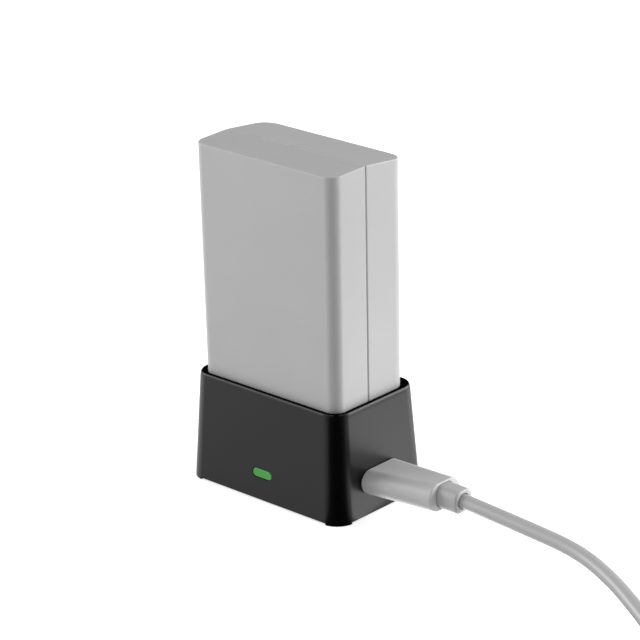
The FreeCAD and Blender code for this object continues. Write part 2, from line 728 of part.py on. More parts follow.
def shrinking_slot(piece, taper="0"):
    """Draws an end of the plug or of its relief, a slot that a taper and an inset make smaller."""
    def draw(sketch, inset):
        less = f"({taper} + 2 * {inset})"
        slot(sketch, f"{cell(piece + '_length')} - {less}", f"{cell(piece + '_tall')} - {less}")

    return draw


def plug_pieces(prefix, seat, front, **relief_seat):
    """A USB-C plug: tapered overmould, strain relief, metal tip and its insert, built along +X."""
    body = new_body(prefix + "_body")
    front_round, rear_round, deep = cell("plug_front_round"), cell("plug_rear_round"), cell("plug_deep")
    draw_root, draw_rear = shrinking_slot("plug"), shrinking_slot("plug", cell("plug_taper"))
    root = round_over(body, "RootOutline", "YZ_Plane", "0", front_round, draw_root, -1)
    rear = round_over(body, "RearOutline", "YZ_Plane", deep, rear_round, draw_rear)
    loft(body, "AdditiveLoft", "Overmould", root[::-1] + rear)
    nest = new_sketch(body, "TipSeat", "YZ_Plane")
    room = f"2 * {cell('plug_gap')}"
    slot(nest, f"{cell('tip_length')} + {room}", f"{cell('tip_tall')} + {room}")
    extrude(body, "Pocket", "TipPocket", nest, f"{cell('tip_seat')} + {cell('plug_gap')}", reverse=True)
    collar = new_sketch(body, "ReliefSeat", "YZ_Plane", cell("plug_deep"))
    room = f"2 * {cell('relief_gap')}"
    slot(collar, f"{cell('relief_length')} + {room}", f"{cell('relief_tall')} + {room}")
    extrude(body, "Pocket", "ReliefPocket", collar, f"{cell('relief_seat')} + {cell('relief_gap')}")
    seat(body, front)

    relief = new_body(prefix + "_strain_relief")
    root = new_sketch(relief, "ReliefRoot", "YZ_Plane", f"-{cell('relief_seat')}")
    slot(root, cell("relief_length"), cell("relief_tall"))
    deep, rear_round = cell("relief_deep"), cell("relief_round")
    draw_rear = shrinking_slot("relief", cell("relief_taper"))
    rear = round_over(relief, "ReliefRear", "YZ_Plane", deep, rear_round, draw_rear)
    loft(relief, "AdditiveLoft", "Relief", [root, *rear])
    seat(relief, f"{front} + {cell('plug_deep')}", **relief_seat)

    tip = new_body(prefix + "_tip")
    outside = new_sketch(tip, "TipOutline", "YZ_Plane", f"-{cell('tip_deep')}")
    slot(outside, cell("tip_length"), cell("tip_tall"))
    whole = f"{cell('tip_deep')} + {cell('tip_seat')}"
    extrude(tip, "Pad", "Tip", outside, whole)
    inside = new_sketch(tip, "TipHollow", "YZ_Plane", f"-{cell('tip_deep')}")
    wall = f"2 * {cell('tip_wall')}"
    slot(inside, f"{cell('tip_length')} - {wall}", f"{cell('tip_tall')} - {wall}")
    extrude(tip, "Pocket", "Hollow", inside, whole, reverse=True)
    seat(tip, front)

    insert = new_body(prefix + "_insert")
    mouth = f"-({cell('tip_deep')} - {cell('insert_setback')})"
    core = new_sketch(insert, "InsertOutline", "YZ_Plane", mouth)
    wall = f"2 * ({cell('tip_wall')} + {cell('insert_gap')})"
    slot(core, f"{cell('tip_length')} - {wall}", f"{cell('tip_tall')} - {wall}")
    extrude(insert, "Pad", "Insert", core, f"{whole} - {cell('insert_setback')}")
    opening = new_sketch(insert, "TongueSlot", "YZ_Plane", mouth)
    room = f"2 * {cell('slot_gap')}"
    rectangle(opening, f"{cell('tongue_length')} + {room}", f"{cell('tongue_tall')} + {room}")
    extrude(insert, "Pocket", "TongueOpening", opening, cell("slot_deep"), reverse=True)
    seat(insert, front)
    return [body, relief, tip, insert]


def contact_places():
    """Where the contacts stand along the front, spread evenly about the middle."""
    count = int(value(cell("contact_count")))
    return [f"{number - (count - 1) / 2} * {cell('contact_pitch')}" for number in range(count)]


def contact_carrier():
    """Block on the board, under the well's floor, with a pocket for each contact."""
    body = new_body("contact_carrier")
    outline = new_sketch(body, "CarrierOutline", "XY_Plane", BOARD_TOP)
    length = f"({cell('contact_count')} - 1) * {cell('contact_pitch')} + 2 * {cell('carrier_margin')}"
    rectangle(outline, length, cell("carrier_depth"), "0", CONTACT_Y)
    extrude(body, "Pad", "Carrier", outline, f"{CARRIER_TOP} - {BOARD_TOP}")
    pockets = new_sketch(body, "PocketOutline", "XY_Plane", CARRIER_TOP)
    for x in contact_places():
        rectangle(pockets, cell("slot_wide"), cell("slot_long"), x, CONTACT_Y)
    extrude(body, "Pocket", "Pockets", pockets, f"{CARRIER_TOP} - {BOARD_TOP} - {cell('pocket_floor')}")
    return body


def contact_springs():
    """Bent strips: a round hump that reaches through the floor, one long leg and one short hooked leg."""
    springs = []
    y = CONTACT_Y
    reach, thick = cell("contact_reach"), cell("contact_thick")
    crown = f"({PACK_FLOOR_TOP} - {cell('contact_press')} - {reach})"
    foot = f"({BOARD_TOP} + {cell('pocket_floor')})"
    for number, x in enumerate(contact_places(), 1):
        body = new_body(f"contact_spring_{number}")
        inside = f"({reach} - {thick})"
        for kind, name, radius in (("Pad", "Hump", reach), ("Pocket", "Inside", inside)):
            loop = new_sketch(body, name + "Outline", "YZ_Plane")
            belt(loop, [(y, foot, radius), (y, crown, radius)])
            extrude(body, kind, name, loop, cell("contact_wide"), "Symmetric")
        open_end = new_sketch(body, "OpenEnd", "YZ_Plane")
        front, back = f"{y} - 2 * {reach}", f"{y} + 2 * {reach}"
        low, middle = f"{foot} - 2 * {reach}", f"{y} + {reach} - 2 * {thick}"
        short_leg = f"{crown} - {cell('contact_hook')}"
        right = [(front, low), (back, low), (back, foot)]
        left = [(middle, foot), (middle, short_leg), (front, short_leg)]
        polygon(open_end, right + left)
        extrude(body, "Pocket", "Legs", open_end, f"2 * {cell('contact_wide')}", "Symmetric")
        body.setExpression("Placement.Base.x", x)
        springs.append(body)
    return springs


def pack_shell(name, front):
    """Half of the battery pack's case, moulded as a tray, with a chamfer that makes the seam's groove."""
    body = new_body(name)
    low, high = cell("well_floor_top"), PACK_RIDGE
    corner = cell("pack_front_corner" if front else "pack_back_corner")
    sides = new_sketch(body, "NarrowSides", "XZ_Plane")
    trapezoid(sides, pack_length(low), low, pack_length(high), high)
    extrude(body, "Pad", "Block", sides, PACK_DEPTH, "Symmetric")

    far = f"({PACK_DEPTH} + 2)"
    seam = cell("pack_seam_y")
    away = 1 if front else -1
    edge_height = f"({high} - {cell('roof_front_fall' if front else 'roof_back_fall')})"
    edge_y = f"{-away} * {PACK_DEPTH} / 2"
    over = f"({high} + 2)"
    profile = new_sketch(body, "OtherHalf", "YZ_Plane")
    beyond = f"{away} * {far}"
    outside = f"{edge_y} - {away}"
    fall = f"({edge_height} - {high}) / ({edge_y} - {seam})"
    points = [
        (seam, f"{low} - 2"),
        (beyond, f"{low} - 2"),
        (beyond, over),
        (outside, over),
        (outside, f"{high} + {fall} * ({outside} - {seam})"),
        (seam, high),
    ]
    polygon(profile, points)
    span = f"{pack_length(high)} + 4"
    half = extrude(body, "Pocket", "CutToHalf", profile, span, "Symmetric")

    seam_place = value(seam)
    near = value(cell("seam_chamfer")) + 0.05

    def by_seam(edge):
        return abs(edge.BoundBox.Center.y - seam_place) < near

    def outer_corner(edge):
        return upright(edge) and not by_seam(edge)

    half = soften(body, "Fillet", "Corners", half, outer_corner, corner)

    def on_seam(edge):
        return by_seam(edge) and edge.BoundBox.YLength < 1e-3

    half = soften(body, "Chamfer", "SeamGroove", half, on_seam, cell("seam_chamfer"))
    lowest_roof = value(edge_height) - 0.3

    def roof_rim(edge):
        return edge.BoundBox.ZMin > lowest_roof and not by_seam(edge)

    soften(body, "Fillet", "RoofRound", half, roof_rim, cell("pack_round"))

    wall = cell("pack_wall")
    hollow = new_sketch(body, "HollowSides", "XZ_Plane")
    lengths = [f"({pack_length(height)} - 2 * {wall})" for height in (PACK_FLOOR_TOP, PACK_CEILING)]
    trapezoid(hollow, lengths[0], PACK_FLOOR_TOP, lengths[1], PACK_CEILING)
    tray = extrude(body, "Pocket", "Hollow", hollow, f"{PACK_DEPTH} - 2 * {wall}", "Symmetric")
    hollow_foot = value(PACK_FLOOR_TOP) - 1e-3

    def inner_corner(edge):
        return outer_corner(edge) and edge.BoundBox.ZMin > hollow_foot

    soften(body, "Fillet", "InnerCorners", tray, inner_corner, f"{corner} - {wall}")

    if not front:
        slots = new_sketch(body, "TerminalSlots", "XY_Plane", PACK_FLOOR_TOP)
        for x in contact_places():
            rectangle(slots, cell("slot_wide"), cell("slot_long"), x, CONTACT_Y)
        extrude(body, "Pocket", "BottomSlots", slots, f"{cell('pack_floor_thick')} + 1")
    return body


def battery_cell(name, side):
    """A round cell with a crimped neck and a raised button. The two cells stand opposite ways up."""
    body = new_body(name)
    profile = new_sketch(body, "CellProfile", "XZ_Plane")
    radius = f"{cell('cell_diameter')} / 2"
    neck = f"({radius} - {cell('crimp_depth')})"
    step = f"{cell('crimp_depth')}"
    place = f"({cell('cell_length')} - {cell('crimp_drop')})"
    shoulder = f"({cell('cell_length')} - {cell('button_tall')})"
    button = f"{cell('button_diameter')} / 2"
    points = [
        ("0", "0"),
        (radius, "0"),
        (radius, f"{place} - 1.5 * {step}"),
        (neck, f"{place} - {step} / 2"),
        (neck, f"{place} + {step} / 2"),
        (radius, f"{place} + 1.5 * {step}"),
        (radius, shoulder),
        (button, shoulder),
        (button, cell("cell_length")),
        ("0", cell("cell_length")),
    ]
    polygon(profile, points)
    revolve(body, "Cell", profile)
    if side > 0:
        body.Placement = FreeCAD.Placement(Vector(), FreeCAD.Rotation(Vector(1, 0, 0), 180))
    body.setExpression("Placement.Base.x", f"{side} * {CELL_X}")
    body.setExpression("Placement.Base.z", CELL_BOTTOM if side < 0 else CELL_TOP)
    return body


def flat_piece(name, length, depth, tall, x, y, bottom, corner=None):
    """A card, strip, plate or pad inside the pack."""
    body = new_body(name)
    outline = new_sketch(body, "PieceOutline", "XY_Plane", bottom)
    if corner:
        rounded(outline, length, depth, corner)
    else:
        rectangle(outline, length, depth)
    extrude(body, "Pad", "Piece", outline, tall)
    body.setExpression("Placement.Base.x", x)
    body.setExpression("Placement.Base.y", y)
    return body


def pack_inside():
    """What the battery pack holds round its two cells."""
    thick = cell("nickel_thick")
    wide = cell("nickel_wide")
    pieces = [
        battery_cell("cell_left", -1),
        battery_cell("cell_right", 1),
        flat_piece("nickel_strip_top", cell("nickel_length"), wide, thick, "0", "0", CELL_TOP),
        flat_piece(
            "insulator_card", cell("card_length"), cell("card_depth"), cell("card_thick"), "0", "0",
            PLATE_TOP, cell("card_corner"),
        ),
    ]
    for name, side in (("nickel_tab_left", -1), ("nickel_tab_right", 1)):
        x = f"{side} * {CELL_X}"
        pieces.append(flat_piece(name, cell("tab_length"), wide, thick, x, "0", CARD_TOP))
    for number, x in enumerate(contact_places(), 1):
        plate = flat_piece(
            f"terminal_plate_{number}", cell("plate_wide"), cell("plate_long"), cell("plate_thick"), x,
            CONTACT_Y, PACK_FLOOR_TOP,
        )
        pieces.append(plate)
    middle = f"({CELL_BOTTOM} + {cell('cell_length')} / 2)"
    radius = f"({cell('cell_diameter')} / 2)"
    aside = f"({CELL_X} - {cell('guard_board_length')} / 2)"
    hollow = f"(sqrt({radius} * {radius} - {aside} * {aside}) + 2 * {cell('seat_gap')})"
    length, thick, tall = (cell("guard_board_" + side) for side in ("length", "thick", "tall"))
    y, bottom = f"{hollow} + {thick} / 2", f"{middle} - {tall} / 2"
    pieces.append(flat_piece("protection_board", length, thick, tall, "0", y, bottom))
    inner_front = f"({PACK_DEPTH} / 2 - {cell('pack_wall')})"
    foam = f"({inner_front} - {radius} - 2 * {cell('seat_gap')})"
    length, tall = cell("foam_length"), cell("foam_tall")
    y, bottom = f"-({inner_front} + {radius}) / 2", f"{middle} - {tall} / 2"
    pieces.append(flat_piece("foam_pad", length, foam, tall, "0", y, bottom))
    return pieces


def plain_solid(name, shape, place=Vector()):
    piece = doc.addObject("Part::Feature", name)
    piece.Label = name
    piece.Shape = shape
    piece.Placement = FreeCAD.Placement(place, FreeCAD.Rotation())
    return piece


def coil_centre():
    return Vector(value(cell("coil_x")), value(cell("coil_y")), 0)


def charging_cord():
    """The cord's free stretch: straight runs joined by tangent arcs, swept by its round section."""
    points = [Vector(*point) for point in CORD_ROUTE]
    edges = []
    radii = []
    start = points[0]
    for before, corner, after in zip(points, points[1:], points[2:]):
        arrive = (corner - before).normalize()
        leave = (after - corner).normalize()
        half_turn = arrive.getAngle(leave) / 2
        trim = ARC_SHARE * min(corner.distanceToPoint(before), corner.distanceToPoint(after))
        radii.append(trim / math.tan(half_turn))
        first, last = corner - arrive * trim, corner + leave * trim
        inward = (leave - arrive).normalize()
        middle = corner + inward * (radii[-1] * (1 / math.cos(half_turn) - 1))
        edges.append(Part.LineSegment(start, first).toShape())
        edges.append(Part.Arc(first, middle, last).toShape())
        start = last
    edges.append(Part.LineSegment(start, points[-1]).toShape())
    path = Part.Wire(edges)
    radius = value(cell("cord_diameter")) / 2
    section = Part.Wire([Part.Circle(points[0], points[1] - points[0], radius).toShape()])
    tube = path.makePipeShell([section], True, False)
    swept = math.pi * radius ** 2 * path.Length
    print("cord arc radii", [round(item, 1) for item in radii])
    print("cord length", round(path.Length, 1))
    print("cord volume", round(tube.Volume, 1), "section times length", round(swept, 1))
    return plain_solid("charging_cord", tube)


def square_ring(half, turn=360.0, start=0.0, bevel=None):
    """A bevelled square section, round the middle of the coil's turns, turned about the coil's axis."""
    radius = value(cell("coil_radius"))
    middle = value(cell("coil_columns")) * value(cell("cord_diameter")) / 2
    short = half - (bevel or value(cell("tie_thick")))
    corners = [
        (-short, -half), (short, -half), (half, -short), (half, short),
        (short, half), (-short, half), (-half, short), (-half, -short),
    ]
    points = [Vector(radius + x, 0, middle + z) for x, z in corners]
    section = Part.Face(Part.makePolygon(points + points[:1]))
    solid = section.revolve(Vector(), UP, turn)
    solid.rotate(Vector(), UP, start)
    return solid


def cord_coil():
    """The put-away length: the coil's outer shape with its two leads, drawn in where the tie holds it."""
    thick = value(cell("cord_diameter"))
    radius = value(cell("coil_radius"))
    half = value(cell("coil_columns")) * thick / 2
    tie = value(cell("tie_thick"))
    spread = value(cell("tie_turn")) + value(cell("tie_room"))
    begin = value(cell("tie_angle")) - spread / 2
    ring = square_ring(half, 360.0 - spread, begin + spread, thick / 3)
    core = square_ring(half - tie - value(cell("seat_gap")), spread, begin)
    ring = ring.fuse(core)

    outer = radius + thick
    heading = math.radians(value(cell("coil_heading")))
    along = Vector(math.cos(heading), math.sin(heading), 0)
    tangent = Vector(along.y, -along.x, 0) * outer + UP * (thick / 2)
    lead_in = value(cell("coil_lead_in"))
    arriving = Part.makeCylinder(thick / 2, lead_in, tangent - along * lead_in, along)
    lead_out = value(cell("coil_lead_out")) - value(cell("seat_gap"))
    rear = value(f"({cell('plug_deep')} + {cell('relief_deep')}) * sin({FAR_PITCH})")
    height = value(cell("plug_tall")) / 2 + value(cell("lift")) - rear
    leaving = Part.makeCylinder(thick / 2, lead_out, Vector(0, outer, height), Vector(-1, 0, 0))
    coil = ring.fuse([arriving, leaving]).removeSplitter()
    return plain_solid("cord_coil", coil, coil_centre())


def cord_tie():
    """A strap round the coil's turns."""
    half = value(cell("coil_columns")) * value(cell("cord_diameter")) / 2
    tie = value(cell("tie_thick"))
    turn = value(cell("tie_turn"))
    begin = value(cell("tie_angle")) - turn / 2
    strap = square_ring(half, turn, begin)
    hollow = square_ring(half - tie, turn, begin)
    return plain_solid("cord_tie", strap.cut(hollow), coil_centre())


def build_all():
    """Every sub-part, from the table upwards and then along the cord."""
    side = cell("controller_side")
    pieces = [charger_housing(), base_plate(), *base_screws(), circuit_board()]
    pieces.append(block_on_board(
        "charge_controller", side, side, cell("controller_tall"), cell("controller_x"),
        cell("controller_y"),
    ))
    side = cell("inductor_side")
    pieces.append(block_on_board(
        "power_inductor", side, side, cell("inductor_tall"), cell("inductor_x"), cell("inductor_y"),
        cell("inductor_corner"),
    ))
    for name in ("input_capacitor", "output_capacitor"):
        case = cell("capacitor_length"), cell("capacitor_wide"), cell("capacitor_tall")
        pieces.append(block_on_board(name, *case, cell(name + "_x"), cell(name + "_y")))
    pieces += [status_led(), led_window(), usb_socket_shell(), usb_socket_tongue()]
    pieces += [contact_carrier(), *contact_springs()]
    pieces += [pack_shell("pack_front_shell", True), pack_shell("pack_back_shell", False), *pack_inside()]
    pieces += plug_pieces("usb_plug", seat_on_port, cell("plug_gap"), pitch=cell("relief_pitch"))
    pieces += [charging_cord(), cord_coil(), cord_tie()]
    pieces += plug_pieces("far_plug", seat_by_coil, "0")
    doc.recompute()
    return pieces


def check(pieces):
    """Stops if any object failed or any sub-part isn't a sound closed shape."""
    failed = [item.Name for item in doc.Objects if {"Invalid", "Error"} & set(item.State)]
    for piece in pieces:
        shape = piece.Shape
        if shape.isNull() or not shape.isValid() or not shape.Solids or shape.Volume <= 0:
            failed.append(piece.Label)
    if failed:
        raise RuntimeError(f"not sound: {failed}")


def write(pieces):
    os.makedirs("parts", exist_ok=True)
    for piece in pieces:
        piece.Shape.exportStep(f"parts/{piece.Label}.step")
        box = piece.Shape.BoundBox
        print(piece.Label, len(piece.Shape.Solids), round(piece.Shape.Volume, 2),
              [round(item, 2) for item in (box.XMin, box.YMin, box.ZMin, box.XMax, box.YMax, box.ZMax)])


all_pieces = build_all()
check(all_pieces)
write(all_pieces)
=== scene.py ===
import bpy
import math
import numpy as np
from mathutils import Matrix, Vector


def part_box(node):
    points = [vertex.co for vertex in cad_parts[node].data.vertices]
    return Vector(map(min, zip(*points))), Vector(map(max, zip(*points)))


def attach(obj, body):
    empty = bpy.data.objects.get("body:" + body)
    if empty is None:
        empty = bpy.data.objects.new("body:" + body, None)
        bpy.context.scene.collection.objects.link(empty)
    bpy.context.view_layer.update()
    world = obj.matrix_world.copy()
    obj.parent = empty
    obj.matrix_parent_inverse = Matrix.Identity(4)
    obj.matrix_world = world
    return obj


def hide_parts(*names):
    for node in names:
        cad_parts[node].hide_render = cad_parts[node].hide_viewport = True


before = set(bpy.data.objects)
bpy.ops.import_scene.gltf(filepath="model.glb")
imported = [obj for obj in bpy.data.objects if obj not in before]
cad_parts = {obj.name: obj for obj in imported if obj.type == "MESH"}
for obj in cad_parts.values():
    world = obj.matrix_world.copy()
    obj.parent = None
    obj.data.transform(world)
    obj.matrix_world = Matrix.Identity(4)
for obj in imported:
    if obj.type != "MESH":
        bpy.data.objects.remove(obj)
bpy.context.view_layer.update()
MM = 0.001

# Dock housing. One black ABS moulding, drafted so that it leaves its mould, with a well for the battery
# above and a hollow skirt below. It is satin outside, with a matt lip and well, and stands on its corners.
dock_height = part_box("charger_housing")[1].z
dock_foot = np.array([47.5, 30.5]) * MM
dock_flare = np.array([1.55, 1.6]) * MM
foot_corner = 5.0 * MM
rim_corner = 4.4 * MM
rim_round = 0.38 * MM
rim_fall = 1.3 * MM
rim_chamfer = 0.15 * MM
foot_round = 0.15 * MM
foot_height = 0.45 * MM
foot_reach = 4.3 * MM
foot_edge = 0.4
skirt_wall = 1.6 * MM
well_floor = 11.4 * MM
well_floor_thick = 1.2 * MM
well_gap = 0.4 * MM
pack_depth = 23.8 * MM
pack_front_corner = 2.7 * MM
pack_back_corner = 3.9 * MM
pack_ridge = 81.1 * MM
pack_lengths = np.array([40.8, 41.78]) * MM
contact_places = np.array([-6.75, -2.25, 2.25, 6.75]) * MM
contact_slot = np.array([1.2, 5.0]) * MM
contact_y = 5.5 * MM
window_size = np.array([5.7, 2.0]) * MM
window_height = 6.82 * MM
window_gap = 0.15 * MM
port_size = np.array([9.4, 3.7]) * MM
port_y = -0.9 * MM
port_height = 8.29 * MM
wall_cut_reach = 3.0 * MM
floor_cut_reach = 2.0 * MM
nearly_one = 0.999


def corner_columns(turns):
    """Corner number and outward angle of each column: the turns in degrees, once for every corner."""
    corner = np.repeat(np.arange(4), len(turns))
    return corner, np.radians(180 + 90 * corner + np.tile(turns, 4))


def rounded_outline(low, high, radii, columns):
    """Points counterclockwise round a rectangle with round corners, starting at its lower left corner.

    A point is its corner's centre, one radius inside both sides, plus the radius times (cos, sin) of the
    column's angle. low and high are the sides' (first, second) coordinates, one row per outline."""
    corner, angle = columns
    radius = np.asarray(radii)[..., corner]
    first = np.where((corner == 1) | (corner == 2), high[0] - radius, low[0] + radius)
    second = np.where(corner > 1, high[1] - radius, low[1] + radius)
    return first + radius * np.cos(angle), second + radius * np.sin(angle)


def wrapped_mesh(name, grid):
    """Mesh of rows that close on themselves: quads join neighbours, and one flat face closes each end."""
    rows, columns = grid.shape[:2]
    number = np.arange(rows * columns).reshape(rows, columns)
    onward = np.roll(number, -1, axis=1)
    quads = np.stack([number[:-1], onward[:-1], onward[1:], number[1:]], axis=-1).reshape(-1, 4)
    mesh = bpy.data.meshes.new(name)
    ends = [number[0, ::-1].tolist(), number[-1].tolist()]
    mesh.from_pydata(grid.reshape(-1, 3), [], quads.tolist() + ends)
    return mesh


def new_piece(name, mesh):
    """An object at the origin that shows a mesh or a curve."""
    piece = bpy.data.objects.new(name, mesh)
    bpy.context.collection.objects.link(piece)
    return piece


def settle(piece, sharp=35.0):
    """Applies the piece's modifiers, then shades it smooth up to an angle, with the large faces flat."""
    shaped = piece.evaluated_get(bpy.context.evaluated_depsgraph_get())
    mesh = bpy.data.meshes.new_from_object(shaped)
    piece.modifiers.clear()
    piece.data = mesh
    mesh.polygons.foreach_set("use_smooth", np.ones(len(mesh.polygons), dtype=bool))
    mesh.set_sharp_from_angle(angle=math.radians(sharp))
    weigh = piece.modifiers.new("flat faces", "WEIGHTED_NORMAL")
    weigh.keep_sharp = True


def settle_with_cuts(piece, prisms):
    """Takes closed meshes out of a piece, then settles it."""
    cutters = []
    for prism in prisms:
        cutter = new_piece(prism.name, prism)
        opening = piece.modifiers.new(prism.name, "BOOLEAN")
        opening.operation = "DIFFERENCE"
        opening.solver = "EXACT"
        opening.object = cutter
        cutters.append(cutter)
    settle(piece)
    for cutter in cutters:
        bpy.data.objects.remove(cutter)


def slot_prism(name, size, place, axis, reach):
    """A prism of a slot-shaped outline, centred on a place and as long as twice its reach along an axis.

    The slot's ends are a hair less than half circles, so that no two of its points meet."""
    columns = corner_columns(np.linspace(0, 90, 9))
    half = size / 2
    radius = np.full((2, 4), min(half) * nearly_one)
    first, second = rounded_outline(-half, half, radius, columns)
    along = np.broadcast_to(np.array([[-reach], [reach]]), first.shape)
    order = {"X": (along, first, second), "Y": (second, along, first), "Z": (first, second, along)}
    return wrapped_mesh(name, np.stack(order[axis], axis=-1) + place)


def pack_half_length(height):
    """Half the battery's length at a height: it grows evenly from its bottom to its ridge."""
    rise = (height - well_floor) / (pack_ridge - well_floor)
    return (pack_lengths[0] + (pack_lengths[1] - pack_lengths[0]) * rise) / 2


# The dock's surface is one grid. Its columns go round, two of them close together where a foot ends. Its
# rows go from the well's underside down inside the skirt, up the wall, over the rim and down into the well.
foot_turn = math.degrees(math.asin((foot_corner - foot_reach) / foot_corner))
bare_turns = [0, foot_turn - foot_edge, foot_turn + foot_edge]
corner_turns = np.concatenate([bare_turns, np.linspace(16, 74, 9), 90 - np.array(bare_turns[::-1])])
dock_columns = corner_columns(corner_turns)
in_foot = np.abs(np.degrees(dock_columns[1]) % 90 - 45) < 45 - foot_turn
round_turn = np.radians(np.linspace(0, 90, 7))
height_rows = np.concatenate([
    [well_floor - well_floor_thick, 0, 0],
    foot_round * (1 - np.cos(round_turn[2:])),
    np.linspace(foot_round * 4, dock_height - rim_fall, 6),
    dock_height - rim_fall * (1 - np.sin(round_turn[1:])),
])
inset_rows = np.concatenate([
    [skirt_wall, skirt_wall, foot_round],
    foot_round * (1 - np.sin(round_turn[2:])),
    np.zeros(6),
    rim_round * (1 - np.cos(round_turn[1:])),
])
rise_rows = height_rows / dock_height
half_rows = dock_foot / 2 - dock_flare * rise_rows[:, None] - inset_rows[:, None]
corner_rows = foot_corner + (rim_corner - foot_corner) * rise_rows - inset_rows
well_half = np.array([pack_half_length(dock_height), pack_depth / 2]) + well_gap
well_widen = np.array([rim_chamfer, 0, 0])
well_heights = np.array([dock_height, dock_height - rim_chamfer, well_floor])
half_rows = np.concatenate([half_rows, well_half + well_widen[:, None]])
height_rows = np.concatenate([height_rows, well_heights])
well_corners = np.repeat([pack_front_corner, pack_back_corner], 2) + well_gap
radius_rows = np.concatenate([
    np.repeat(corner_rows[:, None], 4, axis=1),
    well_corners + well_widen[:, None],
])
dock_x, dock_y = rounded_outline(-half_rows.T[..., None], half_rows.T[..., None], radius_rows, dock_columns)
lift = np.where(in_foot, 0, foot_height) * (height_rows < foot_round * 2)[:, None]
dock_z = np.broadcast_to(height_rows[:, None], dock_x.shape) + lift
dock = new_piece("dock", wrapped_mesh("dock", np.stack([dock_x, dock_y, dock_z], axis=-1)))

wall_y = -(dock_foot[1] / 2 - dock_flare[1] * window_height / dock_height)
wall_x = dock_foot[0] / 2 - dock_flare[0] * port_height / dock_height
window_cut = window_size[::-1] + 2 * window_gap
prisms = [
    slot_prism("window cut", window_cut, (0, wall_y, window_height), "Y", wall_cut_reach),
    slot_prism("port cut", port_size, (wall_x, port_y, port_height), "X", wall_cut_reach),
]
for x in contact_places:
    place = (x, contact_y, well_floor)
    prisms.append(slot_prism("contact cut", contact_slot, place, "Z", floor_cut_reach))
settle_with_cuts(dock, prisms)


def new_material(name):
    """A material made of nodes, with its nodes, its links and the shader that it starts with."""
    material = bpy.data.materials.new(name)
    material.use_nodes = True
    nodes, links = material.node_tree.nodes, material.node_tree.links
    return material, nodes, links, nodes["Principled BSDF"]


def two_shades(nodes, colour, low, high=1.0):
    """A ramp between two shades of a colour: the colour times a low and a high share, and one at most."""
    ramp = nodes.new("ShaderNodeValToRGB")
    for stop, share in zip(ramp.color_ramp.elements, (low, high)):
        stop.color = (*[min(share * part, 1) for part in colour], 1)
    return ramp


def two_values(nodes, low, high):
    """A map from nought and one to two values, even between them."""
    spread = nodes.new("ShaderNodeMapRange")
    spread.inputs["To Min"].default_value = low
    spread.inputs["To Max"].default_value = high
    return spread


def moulded(name, colour, roughness, grain, depth, specular=0.5):
    """Plastic from a mould: even colour, and a fine grain that moves both the gloss and the surface.

    Noise of the grain's size, in metres, shifts the roughness a little and raises the surface by depth.
    A noise fifty times as broad makes the colour a little paler and darker."""
    material, nodes, links, shader = new_material(name)
    shader.inputs["Specular IOR Level"].default_value = specular
    place = nodes.new("ShaderNodeTexCoord")
    fine = nodes.new("ShaderNodeTexNoise")
    fine.inputs["Scale"].default_value = 1 / grain
    fine.inputs["Detail"].default_value = 3
    broad = nodes.new("ShaderNodeTexNoise")
    broad.inputs["Scale"].default_value = 0.02 / grain
    links.new(place.outputs["Object"], fine.inputs["Vector"])
    links.new(place.outputs["Object"], broad.inputs["Vector"])
    shade = two_shades(nodes, colour, 0.96, 1.04)
    links.new(broad.outputs["Fac"], shade.inputs["Fac"])
    links.new(shade.outputs["Color"], shader.inputs["Base Color"])
    gloss = two_values(nodes, roughness * 0.88, roughness * 1.12)
    links.new(fine.outputs["Fac"], gloss.inputs["Value"])
    links.new(gloss.outputs["Result"], shader.inputs["Roughness"])
    bump = nodes.new("ShaderNodeBump")
    bump.inputs["Distance"].default_value = depth
    bump.inputs["Strength"].default_value = 1
    links.new(fine.outputs["Fac"], bump.inputs["Height"])
    links.new(bump.outputs["Normal"], shader.inputs["Normal"])
    return material


def finish(piece, material, slot, *nodes):
    """Gives a new piece its material and its place in the part."""
    piece.data.materials.clear()
    piece.data.materials.append(material)
    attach(piece, "root")
    if nodes:
        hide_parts(*nodes)


black_plastic = moulded("satin black plastic", (0.0022, 0.0022, 0.0023), 0.34, 0.25 * MM, 0.003 * MM, 0.3)
matt_black = moulded("matt black plastic", (0.0022, 0.0022, 0.0023), 0.7, 0.15 * MM, 0.008 * MM, 0.0)
finish(dock, black_plastic, "black_moulding", "charger_housing")
dock.data.materials.append(matt_black)
centres = np.empty(3 * len(dock.data.polygons))
dock.data.polygons.foreach_get("center", centres)
centres = centres.reshape(-1, 3)
over_floor = centres[:, 2] > well_floor - rim_chamfer
in_well = np.all(np.abs(centres[:, :2]) < well_half + rim_chamfer, axis=1) & over_floor
on_lip = centres[:, 2] > dock_height - 0.001 * MM
dock.data.polygons.foreach_set("material_index", (in_well | on_lip).astype(int))

# Base plate and its four screws. The plate is moulded in the same black plastic, with posts that carry the
# board, and it is drawn up into the skirt by countersunk steel screws with a black zinc coat.


def recoat(material, *nodes):
    """Gives nodes that stay as they are their material."""
    for node in nodes:
        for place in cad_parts[node].material_slots:
            place.material = material


